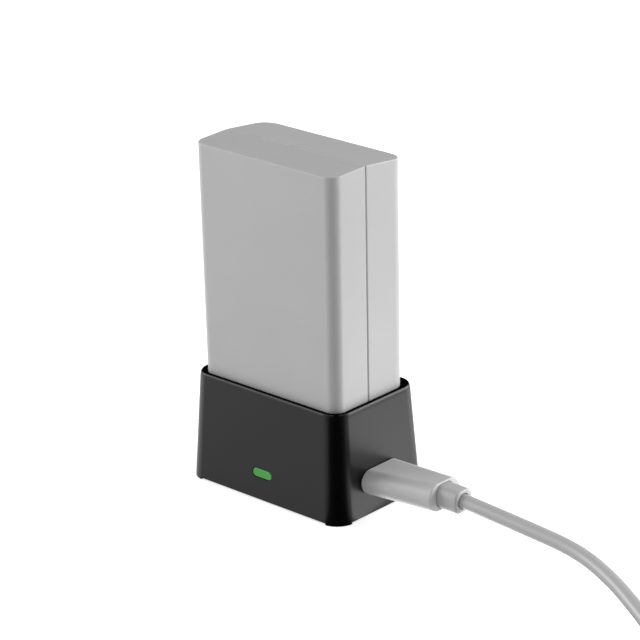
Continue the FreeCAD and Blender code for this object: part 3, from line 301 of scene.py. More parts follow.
def metal(name, colour, roughness, grain, stretch=(1, 1, 1)):
    """Bare or plated metal: the lines or grain of its making shift the gloss and the surface a little.

    Noise of the grain's size, in metres, is squeezed by stretch along each axis, so that a small number
    draws it out into lines."""
    material, nodes, links, shader = new_material(name)
    shader.inputs["Metallic"].default_value = 1
    place = nodes.new("ShaderNodeTexCoord")
    squeeze = nodes.new("ShaderNodeMapping")
    squeeze.inputs["Scale"].default_value = stretch
    lines = nodes.new("ShaderNodeTexNoise")
    lines.inputs["Scale"].default_value = 1 / grain
    lines.inputs["Detail"].default_value = 4
    links.new(place.outputs["Object"], squeeze.inputs["Vector"])
    links.new(squeeze.outputs["Vector"], lines.inputs["Vector"])
    shade = two_shades(nodes, colour, 0.85)
    gloss = two_values(nodes, roughness * 0.7, roughness * 1.3)
    bump = nodes.new("ShaderNodeBump")
    bump.inputs["Distance"].default_value = 0.002 * MM
    links.new(lines.outputs["Fac"], shade.inputs["Fac"])
    links.new(lines.outputs["Fac"], gloss.inputs["Value"])
    links.new(lines.outputs["Fac"], bump.inputs["Height"])
    links.new(shade.outputs["Color"], shader.inputs["Base Color"])
    links.new(gloss.outputs["Result"], shader.inputs["Roughness"])
    links.new(bump.outputs["Normal"], shader.inputs["Normal"])
    return material


recoat(black_plastic, "base_plate")
recoat(metal("black zinc coat", (0.07, 0.07, 0.073), 0.42, 0.2 * MM),
       "base_screw_1", "base_screw_2", "base_screw_3", "base_screw_4")

# Circuit board. Glass-fibre laminate under green lacquer, with copper tracks that show through it; it
# stands on the base plate's posts and carries the charging parts.


def lacquered(name, mask, track):
    """Green lacquer over copper: rows of tracks are the joints of a brick pattern, paler and raised."""
    material, nodes, links, shader = new_material(name)
    shader.inputs["Roughness"].default_value = 0.3
    place = nodes.new("ShaderNodeTexCoord")
    tracks = nodes.new("ShaderNodeTexBrick")
    tracks.inputs["Scale"].default_value = 1 / MM
    tracks.inputs["Brick Width"].default_value = 4.2
    tracks.inputs["Row Height"].default_value = 1.1
    tracks.inputs["Mortar Size"].default_value = 0.14
    tracks.inputs["Color1"].default_value = (*mask, 1)
    tracks.inputs["Color2"].default_value = (*[0.8 * part for part in mask], 1)
    tracks.inputs["Mortar"].default_value = (*track, 1)
    bump = nodes.new("ShaderNodeBump")
    bump.inputs["Distance"].default_value = 0.03 * MM
    links.new(place.outputs["Object"], tracks.inputs["Vector"])
    links.new(tracks.outputs["Color"], shader.inputs["Base Color"])
    links.new(tracks.outputs["Fac"], bump.inputs["Height"])
    links.new(bump.outputs["Normal"], shader.inputs["Normal"])
    return material


board_lacquer = lacquered("green lacquer", (0.018, 0.11, 0.045), (0.05, 0.2, 0.07))
recoat(board_lacquer, "circuit_board")

# Charge controller and power inductor. The chip is moulded in black epoxy, and the coil is pressed into
# a block of dark ferrite; both are soldered to the board.
recoat(moulded("epoxy case", (0.014, 0.014, 0.015), 0.55, 0.06 * MM, 0.003 * MM), "charge_controller")
recoat(moulded("pressed ferrite", (0.035, 0.035, 0.038), 0.7, 0.15 * MM, 0.012 * MM), "power_inductor")

# Capacitors. Two blocks of fired tan ceramic with tinned ends, soldered to the board: one smooths the power
# that comes in, the other what goes to the battery.
capacitor_end = 0.45 * MM


def near_ends(nodes, links, place, node, axis, distance):
    """One within a distance of a node's two ends along an axis, and nought between.

    The coordinate from the node's middle, made positive, is compared with half its length less that."""
    low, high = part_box(node)
    way = "XYZ".index(axis)
    centred = nodes.new("ShaderNodeMapping")
    centred.inputs["Location"].default_value[way] = -(low[way] + high[way]) / 2
    parts = nodes.new("ShaderNodeSeparateXYZ")
    reach = nodes.new("ShaderNodeMath")
    reach.operation = "ABSOLUTE"
    is_end = nodes.new("ShaderNodeMath")
    is_end.operation = "GREATER_THAN"
    is_end.inputs[1].default_value = (high[way] - low[way]) / 2 - distance
    links.new(place.outputs["Object"], centred.inputs["Vector"])
    links.new(centred.outputs["Vector"], parts.inputs["Vector"])
    links.new(parts.outputs[axis], reach.inputs[0])
    links.new(reach.outputs["Value"], is_end.inputs[0])
    return is_end.outputs["Value"]


def capped_ceramic(node, body, tin):
    """Fired ceramic with metal ends: near the block's two ends along X, it is tin."""
    material, nodes, links, shader = new_material(node + " ceramic")
    place = nodes.new("ShaderNodeTexCoord")
    is_end = near_ends(nodes, links, place, node, "X", capacitor_end)
    grain = nodes.new("ShaderNodeTexNoise")
    grain.inputs["Scale"].default_value = 1 / (0.2 * MM)
    fired = two_shades(nodes, body, 0.85)
    colour = nodes.new("ShaderNodeMix")
    colour.data_type = "RGBA"
    colour.inputs["B"].default_value = (*tin, 1)
    gloss = two_values(nodes, 0.5, 0.3)
    links.new(place.outputs["Object"], grain.inputs["Vector"])
    links.new(grain.outputs["Fac"], fired.inputs["Fac"])
    links.new(is_end, colour.inputs["Factor"])
    links.new(fired.outputs["Color"], colour.inputs["A"])
    links.new(colour.outputs["Result"], shader.inputs["Base Color"])
    links.new(is_end, shader.inputs["Metallic"])
    links.new(is_end, gloss.inputs["Value"])
    links.new(gloss.outputs["Result"], shader.inputs["Roughness"])
    return material


for capacitor in ("input_capacitor", "output_capacitor"):
    recoat(capped_ceramic(capacitor, (0.42, 0.3, 0.18), (0.7, 0.7, 0.68)), capacitor)

# Indicator. A diode on the board's front edge shines into a clear green light pipe, which is pressed in from
# behind until its face is flush with the wall and its flange rests on the wall's inside.
window_flange = 0.75 * MM
window_flange_thick = 0.6 * MM
window_lean = math.atan(dock_flare[1] / dock_height)
window_edge = 0.18 * MM


def slot_skin(name, along, halves, radii=None, turns=10):
    """Mesh of slot-shaped sections: along is each section's place and halves its half width and half height.

    The ends of a slot are half circles as tall as the section, unless radii says less."""
    columns = corner_columns(np.linspace(0, 90, turns + 1))
    if radii is None:
        radii = halves.min(axis=1) * nearly_one
    radius = np.repeat(np.reshape(radii, (-1, 1)), 4, axis=1)
    across, up = rounded_outline(-halves.T[..., None], halves.T[..., None], radius, columns)
    along = np.broadcast_to(np.reshape(along, (-1, 1)), across.shape)
    return wrapped_mesh(name, np.stack([along, across, up], axis=-1))


def stand(mesh, place, turn):
    """Puts a mesh made at the origin where it belongs."""
    mesh.transform(Matrix.Translation(place) @ turn)


edge_turn = np.linspace(0, np.pi / 2, 5)
window_half = window_size / 2
flange_places = skirt_wall + np.array([0, 0, window_flange_thick])
along = np.concatenate([window_edge * (1 - np.sin(edge_turn[::-1])), flange_places])
inset = np.concatenate([window_edge * (1 - np.cos(edge_turn[::-1])), [0, -window_flange, -window_flange]])
window_mesh = slot_skin("indicator_window", along, window_half - inset[:, None])
to_front = Matrix.Rotation(math.pi / 2, 4, "Z")
stand(window_mesh, (0, wall_y, window_height), Matrix.Rotation(-window_lean, 4, "X") @ to_front)
window = new_piece("indicator_window", window_mesh)
settle(window)


def glowing(name, colour, glow, brightest, reach):
    """Coloured plastic with light behind it: its glow grows evenly along X and is full at brightest."""
    material = moulded(name, colour, 0.3, 0.4 * MM, 0.002 * MM)
    nodes, links = material.node_tree.nodes, material.node_tree.links
    shader = nodes["Principled BSDF"]
    shader.inputs["Emission Color"].default_value = (*colour, 1)
    place = nodes.new("ShaderNodeTexCoord")
    parts = nodes.new("ShaderNodeSeparateXYZ")
    growth = two_values(nodes, glow / 2, glow)
    growth.inputs["From Min"].default_value = brightest - reach
    growth.inputs["From Max"].default_value = brightest
    links.new(place.outputs["Object"], parts.inputs["Vector"])
    links.new(parts.outputs["X"], growth.inputs["Value"])
    links.new(growth.outputs["Result"], shader.inputs["Emission Strength"])
    return material


window_green = (0.035, 0.265, 0.03)
finish(window, glowing("lit green window", window_green, 0.32, window_half[0], 2 * window_half[0]),
       "window_green", "led_window")
recoat(glowing("lit diode", (0.4, 0.8, 0.35), 0.6, 0, 1 * MM), "status_led")

# Charging socket. A shell folded from nickel-plated sheet, with the contact tongue moulded in its middle; it
# is soldered to the board behind the port.
plated_sheet = metal("nickel-plated sheet", (0.62, 0.62, 0.63), 0.3, 0.3 * MM, (0.15, 1, 1))
black_insert = moulded("glass-filled black plastic", (0.014, 0.014, 0.014), 0.5, 0.1 * MM, 0.003 * MM)
recoat(plated_sheet, "usb_socket_shell")
recoat(black_insert, "usb_socket_tongue")

# Sprung contacts. Four gold-plated leaves stand in a moulded carrier and reach up through the slots in the
# well's floor, to press on the battery's terminals.
gold_plate = metal("gold plate", (0.83, 0.62, 0.28), 0.26, 0.2 * MM, (1, 1, 0.2))
recoat(black_insert, "contact_carrier")
recoat(gold_plate, "contact_spring_1", "contact_spring_2", "contact_spring_3", "contact_spring_4")

# Battery cells. Two round cells side by side, one upside down, each in a shrink sleeve that leaves the ends
# of its steel can bare.
sleeve_edge = 1.1 * MM


def sleeved(name, sleeve, can):
    """A steel can in a shrink sleeve: the sleeve ends a little short of the can's two ends, along Z."""
    material, nodes, links, shader = new_material(name)
    place = nodes.new("ShaderNodeTexCoord")
    is_bare = near_ends(nodes, links, place, "cell_left", "Z", sleeve_edge)
    wrinkle = nodes.new("ShaderNodeTexNoise")
    wrinkle.inputs["Scale"].default_value = 1 / (3 * MM)
    shrunk = two_shades(nodes, sleeve, 0.9)
    colour = nodes.new("ShaderNodeMix")
    colour.data_type = "RGBA"
    colour.inputs["B"].default_value = (*can, 1)
    bump = nodes.new("ShaderNodeBump")
    bump.inputs["Distance"].default_value = 0.02 * MM
    shader.inputs["Roughness"].default_value = 0.3
    links.new(place.outputs["Object"], wrinkle.inputs["Vector"])
    links.new(wrinkle.outputs["Fac"], shrunk.inputs["Fac"])
    links.new(wrinkle.outputs["Fac"], bump.inputs["Height"])
    links.new(is_bare, colour.inputs["Factor"])
    links.new(shrunk.outputs["Color"], colour.inputs["A"])
    links.new(colour.outputs["Result"], shader.inputs["Base Color"])
    links.new(is_bare, shader.inputs["Metallic"])
    links.new(bump.outputs["Normal"], shader.inputs["Normal"])
    return material


recoat(sleeved("shrink sleeve", (0.05, 0.2, 0.36), (0.6, 0.6, 0.6)), "cell_left", "cell_right")

# Cell straps. Rolled nickel strip, cut to length and spot-welded to the cans: one strip joins the cells at
# the top, and a tab lies under each.
rolled_nickel = metal("rolled nickel", (0.6, 0.58, 0.54), 0.35, 0.25 * MM, (0.08, 1, 1))
recoat(rolled_nickel, "nickel_strip_top", "nickel_tab_left", "nickel_tab_right")

# Insulating card. Fish paper, punched out with round corners; it lies under the cells and keeps them off
# the terminal plates.


def fibrous(name, colour):
    """Pressed paper: long thin noise along both level axes makes its fibres."""
    material, nodes, links, shader = new_material(name)
    shader.inputs["Roughness"].default_value = 0.8
    place = nodes.new("ShaderNodeTexCoord")
    drawn = nodes.new("ShaderNodeMapping")
    drawn.inputs["Scale"].default_value = (0.2, 1, 1)
    fibres = nodes.new("ShaderNodeTexNoise")
    fibres.inputs["Scale"].default_value = 1 / (0.3 * MM)
    fibres.inputs["Detail"].default_value = 5
    shade = two_shades(nodes, colour, 0.82)
    bump = nodes.new("ShaderNodeBump")
    bump.inputs["Distance"].default_value = 0.02 * MM
    links.new(place.outputs["Object"], drawn.inputs["Vector"])
    links.new(drawn.outputs["Vector"], fibres.inputs["Vector"])
    links.new(fibres.outputs["Fac"], shade.inputs["Fac"])
    links.new(fibres.outputs["Fac"], bump.inputs["Height"])
    links.new(shade.outputs["Color"], shader.inputs["Base Color"])
    links.new(bump.outputs["Normal"], shader.inputs["Normal"])
    return material


recoat(fibrous("fish paper", (0.6, 0.56, 0.42)), "insulator_card")

# Terminal plates. Four plates of gold-plated copper lie behind the slots in the battery's bottom, where the
# dock's sprung contacts press on them.
recoat(gold_plate, "terminal_plate_1", "terminal_plate_2", "terminal_plate_3", "terminal_plate_4")

# Protection board. A narrow board of the same lacquered laminate; it stands in the hollow between the
# cells and guards them from overcharge.
recoat(board_lacquer, "protection_board")

# Foam pad. Closed-cell foam, cut from a sheet and pressed in between the cells and the front shell to keep
# them from rattling.


def foamed(name, colour):
    """Closed-cell foam: round hollows in random cells, deepest at each middle, where painted shade darkens
    it.
    """
    material, nodes, links, shader = new_material(name)
    shader.inputs["Roughness"].default_value = 0.9
    place = nodes.new("ShaderNodeTexCoord")
    bubbles = nodes.new("ShaderNodeTexVoronoi")
    bubbles.inputs["Scale"].default_value = 1 / (0.4 * MM)
    # Painted shade: the colour falls to six tenths at each hollow's middle and is full at its rim.
    shade = two_shades(nodes, colour, 0.6)
    bump = nodes.new("ShaderNodeBump")
    bump.inputs["Distance"].default_value = 0.1 * MM
    links.new(place.outputs["Object"], bubbles.inputs["Vector"])
    links.new(bubbles.outputs["Distance"], shade.inputs["Fac"])
    links.new(bubbles.outputs["Distance"], bump.inputs["Height"])
    links.new(shade.outputs["Color"], shader.inputs["Base Color"])
    links.new(bump.outputs["Normal"], shader.inputs["Normal"])
    return material


recoat(foamed("closed-cell foam", (0.06, 0.06, 0.062)), "foam_pad")

# Battery case. Two half-shells of light grey ABS, welded at the seam that runs up the narrow sides and
# along the ridge of the roof, whose two slopes fall away from it. The back one has the terminal slots.
pack_seam = -1.2 * MM
seam_gap = 0.08 * MM
seam_round = 0.38 * MM
roof_round = 0.32 * MM
front_fall = 0.3 * MM
front_bend = 1.7
back_fall = 1.4 * MM
hollow_round = 0.1 * MM
hollow_past_seam = 4.0 * MM
pack_wall = 1.5 * MM
pack_floor = 1.2 * MM
pack_roof = 2.4 * MM


def shell_grid(front, size, inset_low, floor, ceiling, past_seam=-seam_gap / 2):
    """A half-shell as rows round its outline, from its bottom up to its roof.

    A row's inset and its drop below the roof follow a quarter circle, so the edges come out round. The
    roof falls from the seam to the wall, evenly at the back and by a power of the way there at the front,
    which bends it down, and the narrow sides part with the height."""
    outer = pack_depth / 2 - inset_low
    near = pack_seam + (past_seam if front else -past_seam)
    radius = (pack_front_corner if front else pack_back_corner) - inset_low
    columns = corner_columns(np.linspace(0, 90, 13))
    seam_corner = columns[0] > 1 if front else columns[0] < 2
    turn = np.linspace(0, np.pi / 2, 7)
    inset = np.concatenate([(1 - np.cos(turn[::-1])), np.zeros(3), (1 - np.cos(turn))])
    drop = np.concatenate([np.zeros(len(turn) + 3), (1 - np.sin(turn))])
    share = np.concatenate([np.zeros(len(turn)), np.linspace(0, 1, 5)[1:-1], np.ones(len(turn))])
    lift = np.concatenate([(1 - np.sin(turn[::-1])), np.zeros(3 + len(turn))])
    step = np.where(seam_corner, min(size, seam_round), size)
    inset, drop, lift = inset[:, None] * step, drop[:, None] * step, lift[:, None] * step
    low_y, high_y = (-outer, near) if front else (near, outer)
    radii = np.array([radius, radius, seam_round, seam_round])
    if not front:
        radii = radii[::-1]
    corner, angle = columns
    y_centre = np.where(corner > 1, high_y - radii[corner], low_y + radii[corner])
    y = y_centre + (radii[corner] - inset) * np.sin(angle)
    seam_to_wall = pack_depth / 2 + (pack_seam if front else -pack_seam)
    fall, bend = (front_fall, front_bend) if front else (back_fall, 1)
    roof = ceiling - fall * (np.abs(y - pack_seam) / seam_to_wall) ** bend
    z = floor + lift + (roof - drop - floor - lift) * share[:, None]
    half = pack_half_length(z) - inset_low
    x_centre = np.where((corner == 1) | (corner == 2), half - radii[corner], radii[corner] - half)
    x = x_centre + (radii[corner] - inset) * np.cos(angle)
    return np.stack([x, y, z], axis=-1)


shells = {}
for name, front in (("pack_front", True), ("pack_back", False)):
    shell = new_piece(name, wrapped_mesh(name, shell_grid(front, roof_round, 0, well_floor, pack_ridge)))
    low, high = well_floor + pack_floor, pack_ridge - pack_roof
    inside = shell_grid(front, hollow_round, pack_wall, low, high, hollow_past_seam)
    hollows = [wrapped_mesh(name + " hollow", inside)]
    if not front:
        for x in contact_places:
            place = (x, contact_y, well_floor)
            hollows.append(slot_prism("terminal cut", contact_slot, place, "Z", floor_cut_reach))
    settle_with_cuts(shell, hollows)
    shells[name] = shell

pale_plastic = moulded("pale grey plastic", (0.505, 0.505, 0.51), 0.42, 0.3 * MM, 0.004 * MM, 0.35)
finish(shells["pack_front"], pale_plastic, "grey_moulding", "pack_front_shell")
finish(shells["pack_back"], pale_plastic, "grey_moulding", "pack_back_shell")

# Charging plugs. A flat grip of soft grey plastic is moulded over the back of the metal shell; it narrows
# towards the cord, where the strain relief is seated in it.
plug_deep = 19.0 * MM
plug_halves = np.array([[13.0, 5.75], [10.4, 6.5]]) * MM / 2
plug_front_round = 0.25 * MM
plug_rear_round = 0.3 * MM
plug_gap = 0.1 * MM
plug_pitch = math.radians(3.0)
relief_deep = 5.4 * MM
relief_halves = np.array([[5.8, 5.4], [5.6, 5.4]]) * MM / 2
relief_corner = 1.9 * MM
relief_root_round = 0.05 * MM
relief_round = 0.5 * MM
relief_seat = 0.9 * MM
relief_gap = 0.15 * MM
relief_mouth = 3.9 * MM
relief_mouth_deep = 0.8 * MM
relief_pitch = math.radians(-0.5)
tip_size = np.array([8.25, 2.4]) * MM
tip_seat = 3.0 * MM
coil_centre = np.array([130.0, 3.0]) * MM
winding_middle = np.array([18.0, 4.95]) * MM
cord_width = 3.3 * MM
plug_lift = 0.01 * MM
far_pitch = math.atan((plug_halves[1, 1] - plug_halves[0, 1]) / plug_deep)


def tapered_sections(halves, deep, front_round, rear_round, start=0.0):
    """Places and half sizes of a taper with both its end edges rounded by quarter circles."""
    turn = np.linspace(0, np.pi / 2, 6)
    along = np.concatenate([
        start + front_round * (1 - np.sin(turn[::-1])),
        deep - rear_round * (1 - np.sin(turn)),
    ])
    inset = np.concatenate([front_round * (1 - np.cos(turn[::-1])), rear_round * (1 - np.cos(turn))])
    share = ((along - start) / (deep - start))[:, None]
    return along, halves[0] + (halves[1] - halves[0]) * share - inset[:, None]


def plug(prefix, place, pitch, own_pitch):
    """The grip and the strain relief of one plug, built along X from the wall that the plug meets."""
    turn = Matrix.Rotation(-pitch, 4, "Y")
    sections = tapered_sections(plug_halves, plug_deep, plug_front_round, plug_rear_round)
    body = new_piece(prefix + "_grip", slot_skin(prefix + "_grip", *sections, turns=16))
    settle_with_cuts(body, [
        slot_prism(prefix + " tip nest", tip_size + 2 * plug_gap, (0, 0, 0), "X", tip_seat),
        slot_skin(
            prefix + " relief seat",
            plug_deep + np.array([-1, 1]) * (relief_seat + relief_gap),
            np.stack([relief_halves[0]] * 2) + relief_gap,
            [relief_corner + relief_gap] * 2),
    ])
    stand(body.data, place, turn)
    sections = tapered_sections(relief_halves, relief_deep, relief_root_round, relief_round, -relief_seat)
    corners = relief_corner - (relief_halves[0, 1] - sections[1][:, 1])
    relief = new_piece(prefix + "_relief", slot_skin(prefix + "_relief", *sections, corners, turns=12))
    mouth = np.array([relief_mouth, relief_mouth])
    settle_with_cuts(relief, [
        slot_prism(prefix + " mouth", mouth, (relief_deep, 0, 0), "X", relief_mouth_deep)])
    stand(relief.data, Vector(place) + turn @ Vector((plug_deep, 0, 0)), Matrix.Rotation(-own_pitch, 4, "Y"))
    return body, relief


port = Vector((wall_x, port_y, port_height))
near_place = port + Matrix.Rotation(-plug_pitch, 4, "Y") @ Vector((plug_gap, 0, 0))
near_grip, near_relief = plug("near_plug", near_place, plug_pitch, relief_pitch)
far_y = coil_centre[1] + winding_middle[0] + cord_width
far_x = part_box("far_plug_body")[0].x
far_place = (far_x, far_y, plug_halves[0, 1] + plug_lift)
far_grip, far_relief = plug("far_plug", far_place, far_pitch, far_pitch)

plug_plastic = moulded("plug plastic", (0.6, 0.6, 0.605), 0.4, 0.2 * MM, 0.003 * MM)
relief_plastic = moulded("relief plastic", (0.52, 0.52, 0.525), 0.45, 0.2 * MM, 0.003 * MM)
finish(near_grip, plug_plastic, "plug_moulding", "usb_plug_body")
finish(near_relief, relief_plastic, "relief_moulding", "usb_plug_strain_relief")
finish(far_grip, plug_plastic, "plug_moulding", "far_plug_body")
finish(far_relief, relief_plastic, "relief_moulding", "far_plug_strain_relief")
recoat(plated_sheet, "usb_plug_tip", "far_plug_tip")
recoat(black_insert, "usb_plug_insert", "far_plug_insert")

# Charging cord. Copper pairs in a soft grey PVC jacket, straight out of the strain relief and down to the
# table; the length that isn't in use is wound beside the dock.
cord_route = np.array([
    (46.9, -0.9, 9.39),
    (65.0, -0.9, 8.22),
    (80.0, -1.2, 7.2),
    (91.5, -4.2, 5.0),
    (101.0, -8.4, 2.75),
    (106.27, -11.03, 1.65),
    (110.91, -12.72, 1.65),
]) * MM
coil_slots = np.array([(21.3, 1.65), (18, 1.65), (14.7, 1.65), (14.7, 4.95),
                       (14.7, 8.25), (18, 8.25), (18, 4.95), (21.3, 4.95)]) * MM
coil_points = 24
coil_start = -110.0
coil_turning = 2720.0
step_aside = 55.0
lead_out_route = np.array([(6.0, 4.9), (9.0, 4.45), (11.5, 3.7), (13.8, 3.6), (17.0, 3.35)]) * MM
tie_angle = -28.0
tie_turn = 25.0
tie_pinch = 0.8
pinch_full = 12.0
pinch_end = 32.0


def coil_turns():
    """The wound length: each turn keeps to its own radius and height, and glides to the next at its end.

    The angle grows evenly. A turn's share of the glide is a smooth step over its last few degrees, and
    near the tie the turns draw in towards the middle of the winding."""
    turned = np.arange(0, coil_turning + 1, 360 / coil_points)
    turned[-1] = coil_turning
    number = np.minimum((turned // 360).astype(int), len(coil_slots) - 1)
    following = np.minimum(number + 1, len(coil_slots) - 1)
    glide = np.clip((turned % 360 - (360 - step_aside)) / step_aside, 0, 1)
    glide = (glide * glide * (3 - 2 * glide))[:, None]
    section = coil_slots[number] * (1 - glide) + coil_slots[following] * glide
    angle = coil_start + turned
    from_tie = np.abs((angle - tie_angle + 180) % 360 - 180)
    drawn = np.clip((pinch_end - from_tie) / (pinch_end - pinch_full), 0, 1)
    pinch = (1 - (1 - tie_pinch) * drawn * drawn * (3 - 2 * drawn))[:, None]
    section = winding_middle + (section - winding_middle) * pinch
    radius = section[:, 0] / math.cos(math.pi / coil_points)
    angle = np.radians(angle)
    x = coil_centre[0] + radius * np.cos(angle)
    y = coil_centre[1] + radius * np.sin(angle)
    return np.stack([x, y, section[:, 1]], axis=-1)


lead_out_x = coil_centre[0] - lead_out_route[:, 0]
lead_out_y = np.full(len(lead_out_route), far_y)
lead_out = np.stack([lead_out_x, lead_out_y, lead_out_route[:, 1]], axis=-1)
cord_points = np.concatenate([cord_route, coil_turns(), lead_out])
curve = bpy.data.curves.new("charging_cable", "CURVE")
curve.dimensions = "3D"
curve.bevel_depth = cord_width / 2
curve.bevel_resolution = 6
curve.resolution_u = 6
curve.use_fill_caps = True
spline = curve.splines.new("NURBS")
spline.points.add(len(cord_points) - 1)
spline.points.foreach_set("co", np.column_stack([cord_points, np.ones(len(cord_points))]).ravel())
spline.order_u = 3
spline.use_endpoint_u = True
spline.use_smooth = True
cable = new_piece("charging_cable", curve)
cord_jacket = moulded("cord jacket", (0.52, 0.52, 0.525), 0.34, 0.3 * MM, 0.002 * MM)
finish(cable, cord_jacket, "cord_jacket", "charging_cord", "cord_coil")

# Tie. A strap of woven hook-and-loop tape, wrapped once round the winding and pressed onto itself. It draws
# the turns together where it holds them.
tie_half = 4.95 * MM
tie_thick = 0.7 * MM
tie_corners = np.array([1.5, 0.9]) * MM
tie_columns = corner_columns(np.linspace(0, 90, 7))


def strap_mesh(name):
    """A flat band round the winding's square section, carried along an arc about the coil's axis.

    Rows run outside along the arc and back inside, and the last row meets the first."""
    spread = np.radians(np.linspace(tie_angle - tie_turn / 2, tie_angle + tie_turn / 2, 13))
    half = np.repeat([tie_half, tie_half - tie_thick], len(spread))[:, None]
    radius = np.repeat(tie_corners, len(spread))
    angle = np.concatenate([spread, spread[::-1]])
    halves = np.stack([half, half])
    first, second = rounded_outline(-halves, halves, np.repeat(radius[:, None], 4, axis=1), tie_columns)
    reach = winding_middle[0] + first
    x = coil_centre[0] + reach * np.cos(angle)[:, None]
    y = coil_centre[1] + reach * np.sin(angle)[:, None]
    grid = np.stack([x, y, second + winding_middle[1]], axis=-1)
    rows, columns = grid.shape[:2]
    number = np.arange(rows * columns).reshape(rows, columns)
    below, onward = np.roll(number, -1, axis=0), np.roll(number, -1, axis=1)
    quads = np.stack([number, below, np.roll(below, -1, axis=1), onward], axis=-1).reshape(-1, 4)
    mesh = bpy.data.meshes.new(name)
    mesh.from_pydata(grid.reshape(-1, 3), [], quads.tolist())
    steps = np.linalg.norm(np.roll(grid[0], -1, axis=0) - grid[0], axis=1)
    ends = np.cumsum(steps)
    round_the_wire = np.stack([ends - steps, ends - steps, ends, ends], axis=-1)
    across = winding_middle[0] * angle
    over = np.roll(across, -1)
    across_the_band = np.stack([across, over, over, across], axis=-1)
    threads = np.empty((rows, columns, 4, 2))
    threads[..., 0] = round_the_wire[None]
    threads[..., 1] = across_the_band[:, None]
    mesh.uv_layers.new(name="threads").data.foreach_set("uv", threads.ravel())
    return mesh


def woven(name, colour, thread):
    """Plain weave: the threads that lie on top are bricks, set half a brick aside in every other row.

    Rows are one thread high, bricks two threads long, and soft dark joints dip between them."""
    material, nodes, links, shader = new_material(name)
    shader.inputs["Roughness"].default_value = 0.85
    shader.inputs["Specular IOR Level"].default_value = 0.3
    shader.inputs["Sheen Weight"].default_value = 0.25
    place = nodes.new("ShaderNodeTexCoord")
    threads = nodes.new("ShaderNodeTexBrick")
    threads.inputs["Scale"].default_value = 1 / thread
    threads.inputs["Brick Width"].default_value = 2
    threads.inputs["Row Height"].default_value = 1
    threads.inputs["Mortar Size"].default_value = 0.3
    threads.inputs["Mortar Smooth"].default_value = 1
    threads.inputs["Color1"].default_value = (*colour, 1)
    threads.inputs["Color2"].default_value = (*[0.75 * part for part in colour], 1)
    threads.inputs["Mortar"].default_value = (*[0.2 * part for part in colour], 1)
    dip = nodes.new("ShaderNodeBump")
    dip.invert = True
    dip.inputs["Distance"].default_value = 0.3 * thread
    links.new(place.outputs["UV"], threads.inputs["Vector"])
    links.new(threads.outputs["Color"], shader.inputs["Base Color"])
    links.new(threads.outputs["Fac"], dip.inputs["Height"])
    links.new(dip.outputs["Normal"], shader.inputs["Normal"])
    return material


tie = new_piece("strap_tie", strap_mesh("strap_tie"))
settle(tie)
finish(tie, woven("woven strap", (0.04, 0.04, 0.043), 0.45 * MM), "tie_strap", "cord_tie")

# Studio. A pale floor that turns white for the camera and keeps a soft shadow, an even sky, a softbox on
# each side, and cards that only reflections show, which are painted reflections: dark ones draw the black
# lines on the glossy plastic, and a light one lays a bright patch on it.
half_floor = 3.0
floor_shade = 0.76
floor_glow = 0.65


def seen_white(nodes, links):
    """One where the camera, a reflection or a look through glass meets the surface, and nought elsewhere."""
    ray = nodes.new("ShaderNodeLightPath")
    seen = ray.outputs["Is Camera Ray"]
    for other in ("Is Glossy Ray", "Is Transmission Ray"):
        either = nodes.new("ShaderNodeMath")
        either.operation = "MAXIMUM"
        links.new(seen, either.inputs[0])
        links.new(ray.outputs[other], either.inputs[1])
        seen = either.outputs["Value"]
    return seen


def studio_floor():
    """Pale floor: lit like any surface, with a glow of its own where it is seen as the background."""
    material, nodes, links, shader = new_material("floor")
    nodes.remove(shader)
    pale = nodes.new("ShaderNodeBsdfDiffuse")
    pale.inputs["Color"].default_value = (floor_shade, floor_shade, floor_shade, 1)
    white = nodes.new("ShaderNodeEmission")
    glow = two_values(nodes, 0, floor_glow)
    both = nodes.new("ShaderNodeAddShader")
    links.new(seen_white(nodes, links), glow.inputs["Value"])
    links.new(glow.outputs["Result"], white.inputs["Strength"])
    links.new(pale.outputs["BSDF"], both.inputs[0])
    links.new(white.outputs["Emission"], both.inputs[1])
    links.new(both.outputs["Shader"], nodes["Material Output"].inputs["Surface"])
    return material


def flat_mesh(name, corners):
    """One flat face through its corners, which run counterclockwise as its front is seen."""
    mesh = bpy.data.meshes.new(name)
    mesh.from_pydata(corners, [], [tuple(range(len(corners)))])
    return mesh


floor_corners = [(-half_floor, -half_floor, 0), (half_floor, -half_floor, 0), (half_floor, half_floor, 0),
                 (-half_floor, half_floor, 0)]
floor = new_piece("floor", flat_mesh("floor", floor_corners))
floor.data.materials.append(studio_floor())


def reflected_card(name, mesh, light):
    """A card that only shows in reflections: black where its light is nought, else a light panel."""
    material, nodes, links, shader = new_material(name)
    shader.inputs["Base Color"].default_value = (0, 0, 0, 1)
    shader.inputs["Specular IOR Level"].default_value = 0
    shader.inputs["Emission Color"].default_value = (1, 1, 1, 1)
    shader.inputs["Emission Strength"].default_value = light
    mesh.materials.append(material)
    card = new_piece(name, mesh)
    card.visible_camera = False
    card.visible_diffuse = False
    card.visible_transmission = False
    card.visible_shadow = False


def fan(name, middle, radius, first, last, height):
    """A level slice of a disc: its middle, and points on its rim from one azimuth to another."""
    turn = np.radians(np.linspace(first, last, 9))
    rim = np.column_stack([middle[0] + radius * np.cos(turn), middle[1] + radius * np.sin(turn)])
    rim = np.concatenate([[middle], rim])
    return flat_mesh(name, np.column_stack([rim, np.full(len(rim), height)]).tolist())


def standing(name, radius, first, last, height):
    """A flat card that stands on the floor between two azimuths and faces the object."""
    turn = np.radians([first, first, last, last])
    rise = [0.001, height, height, 0.001]
    return flat_mesh(name, np.column_stack([radius * np.cos(turn), radius * np.sin(turn), rise]).tolist())


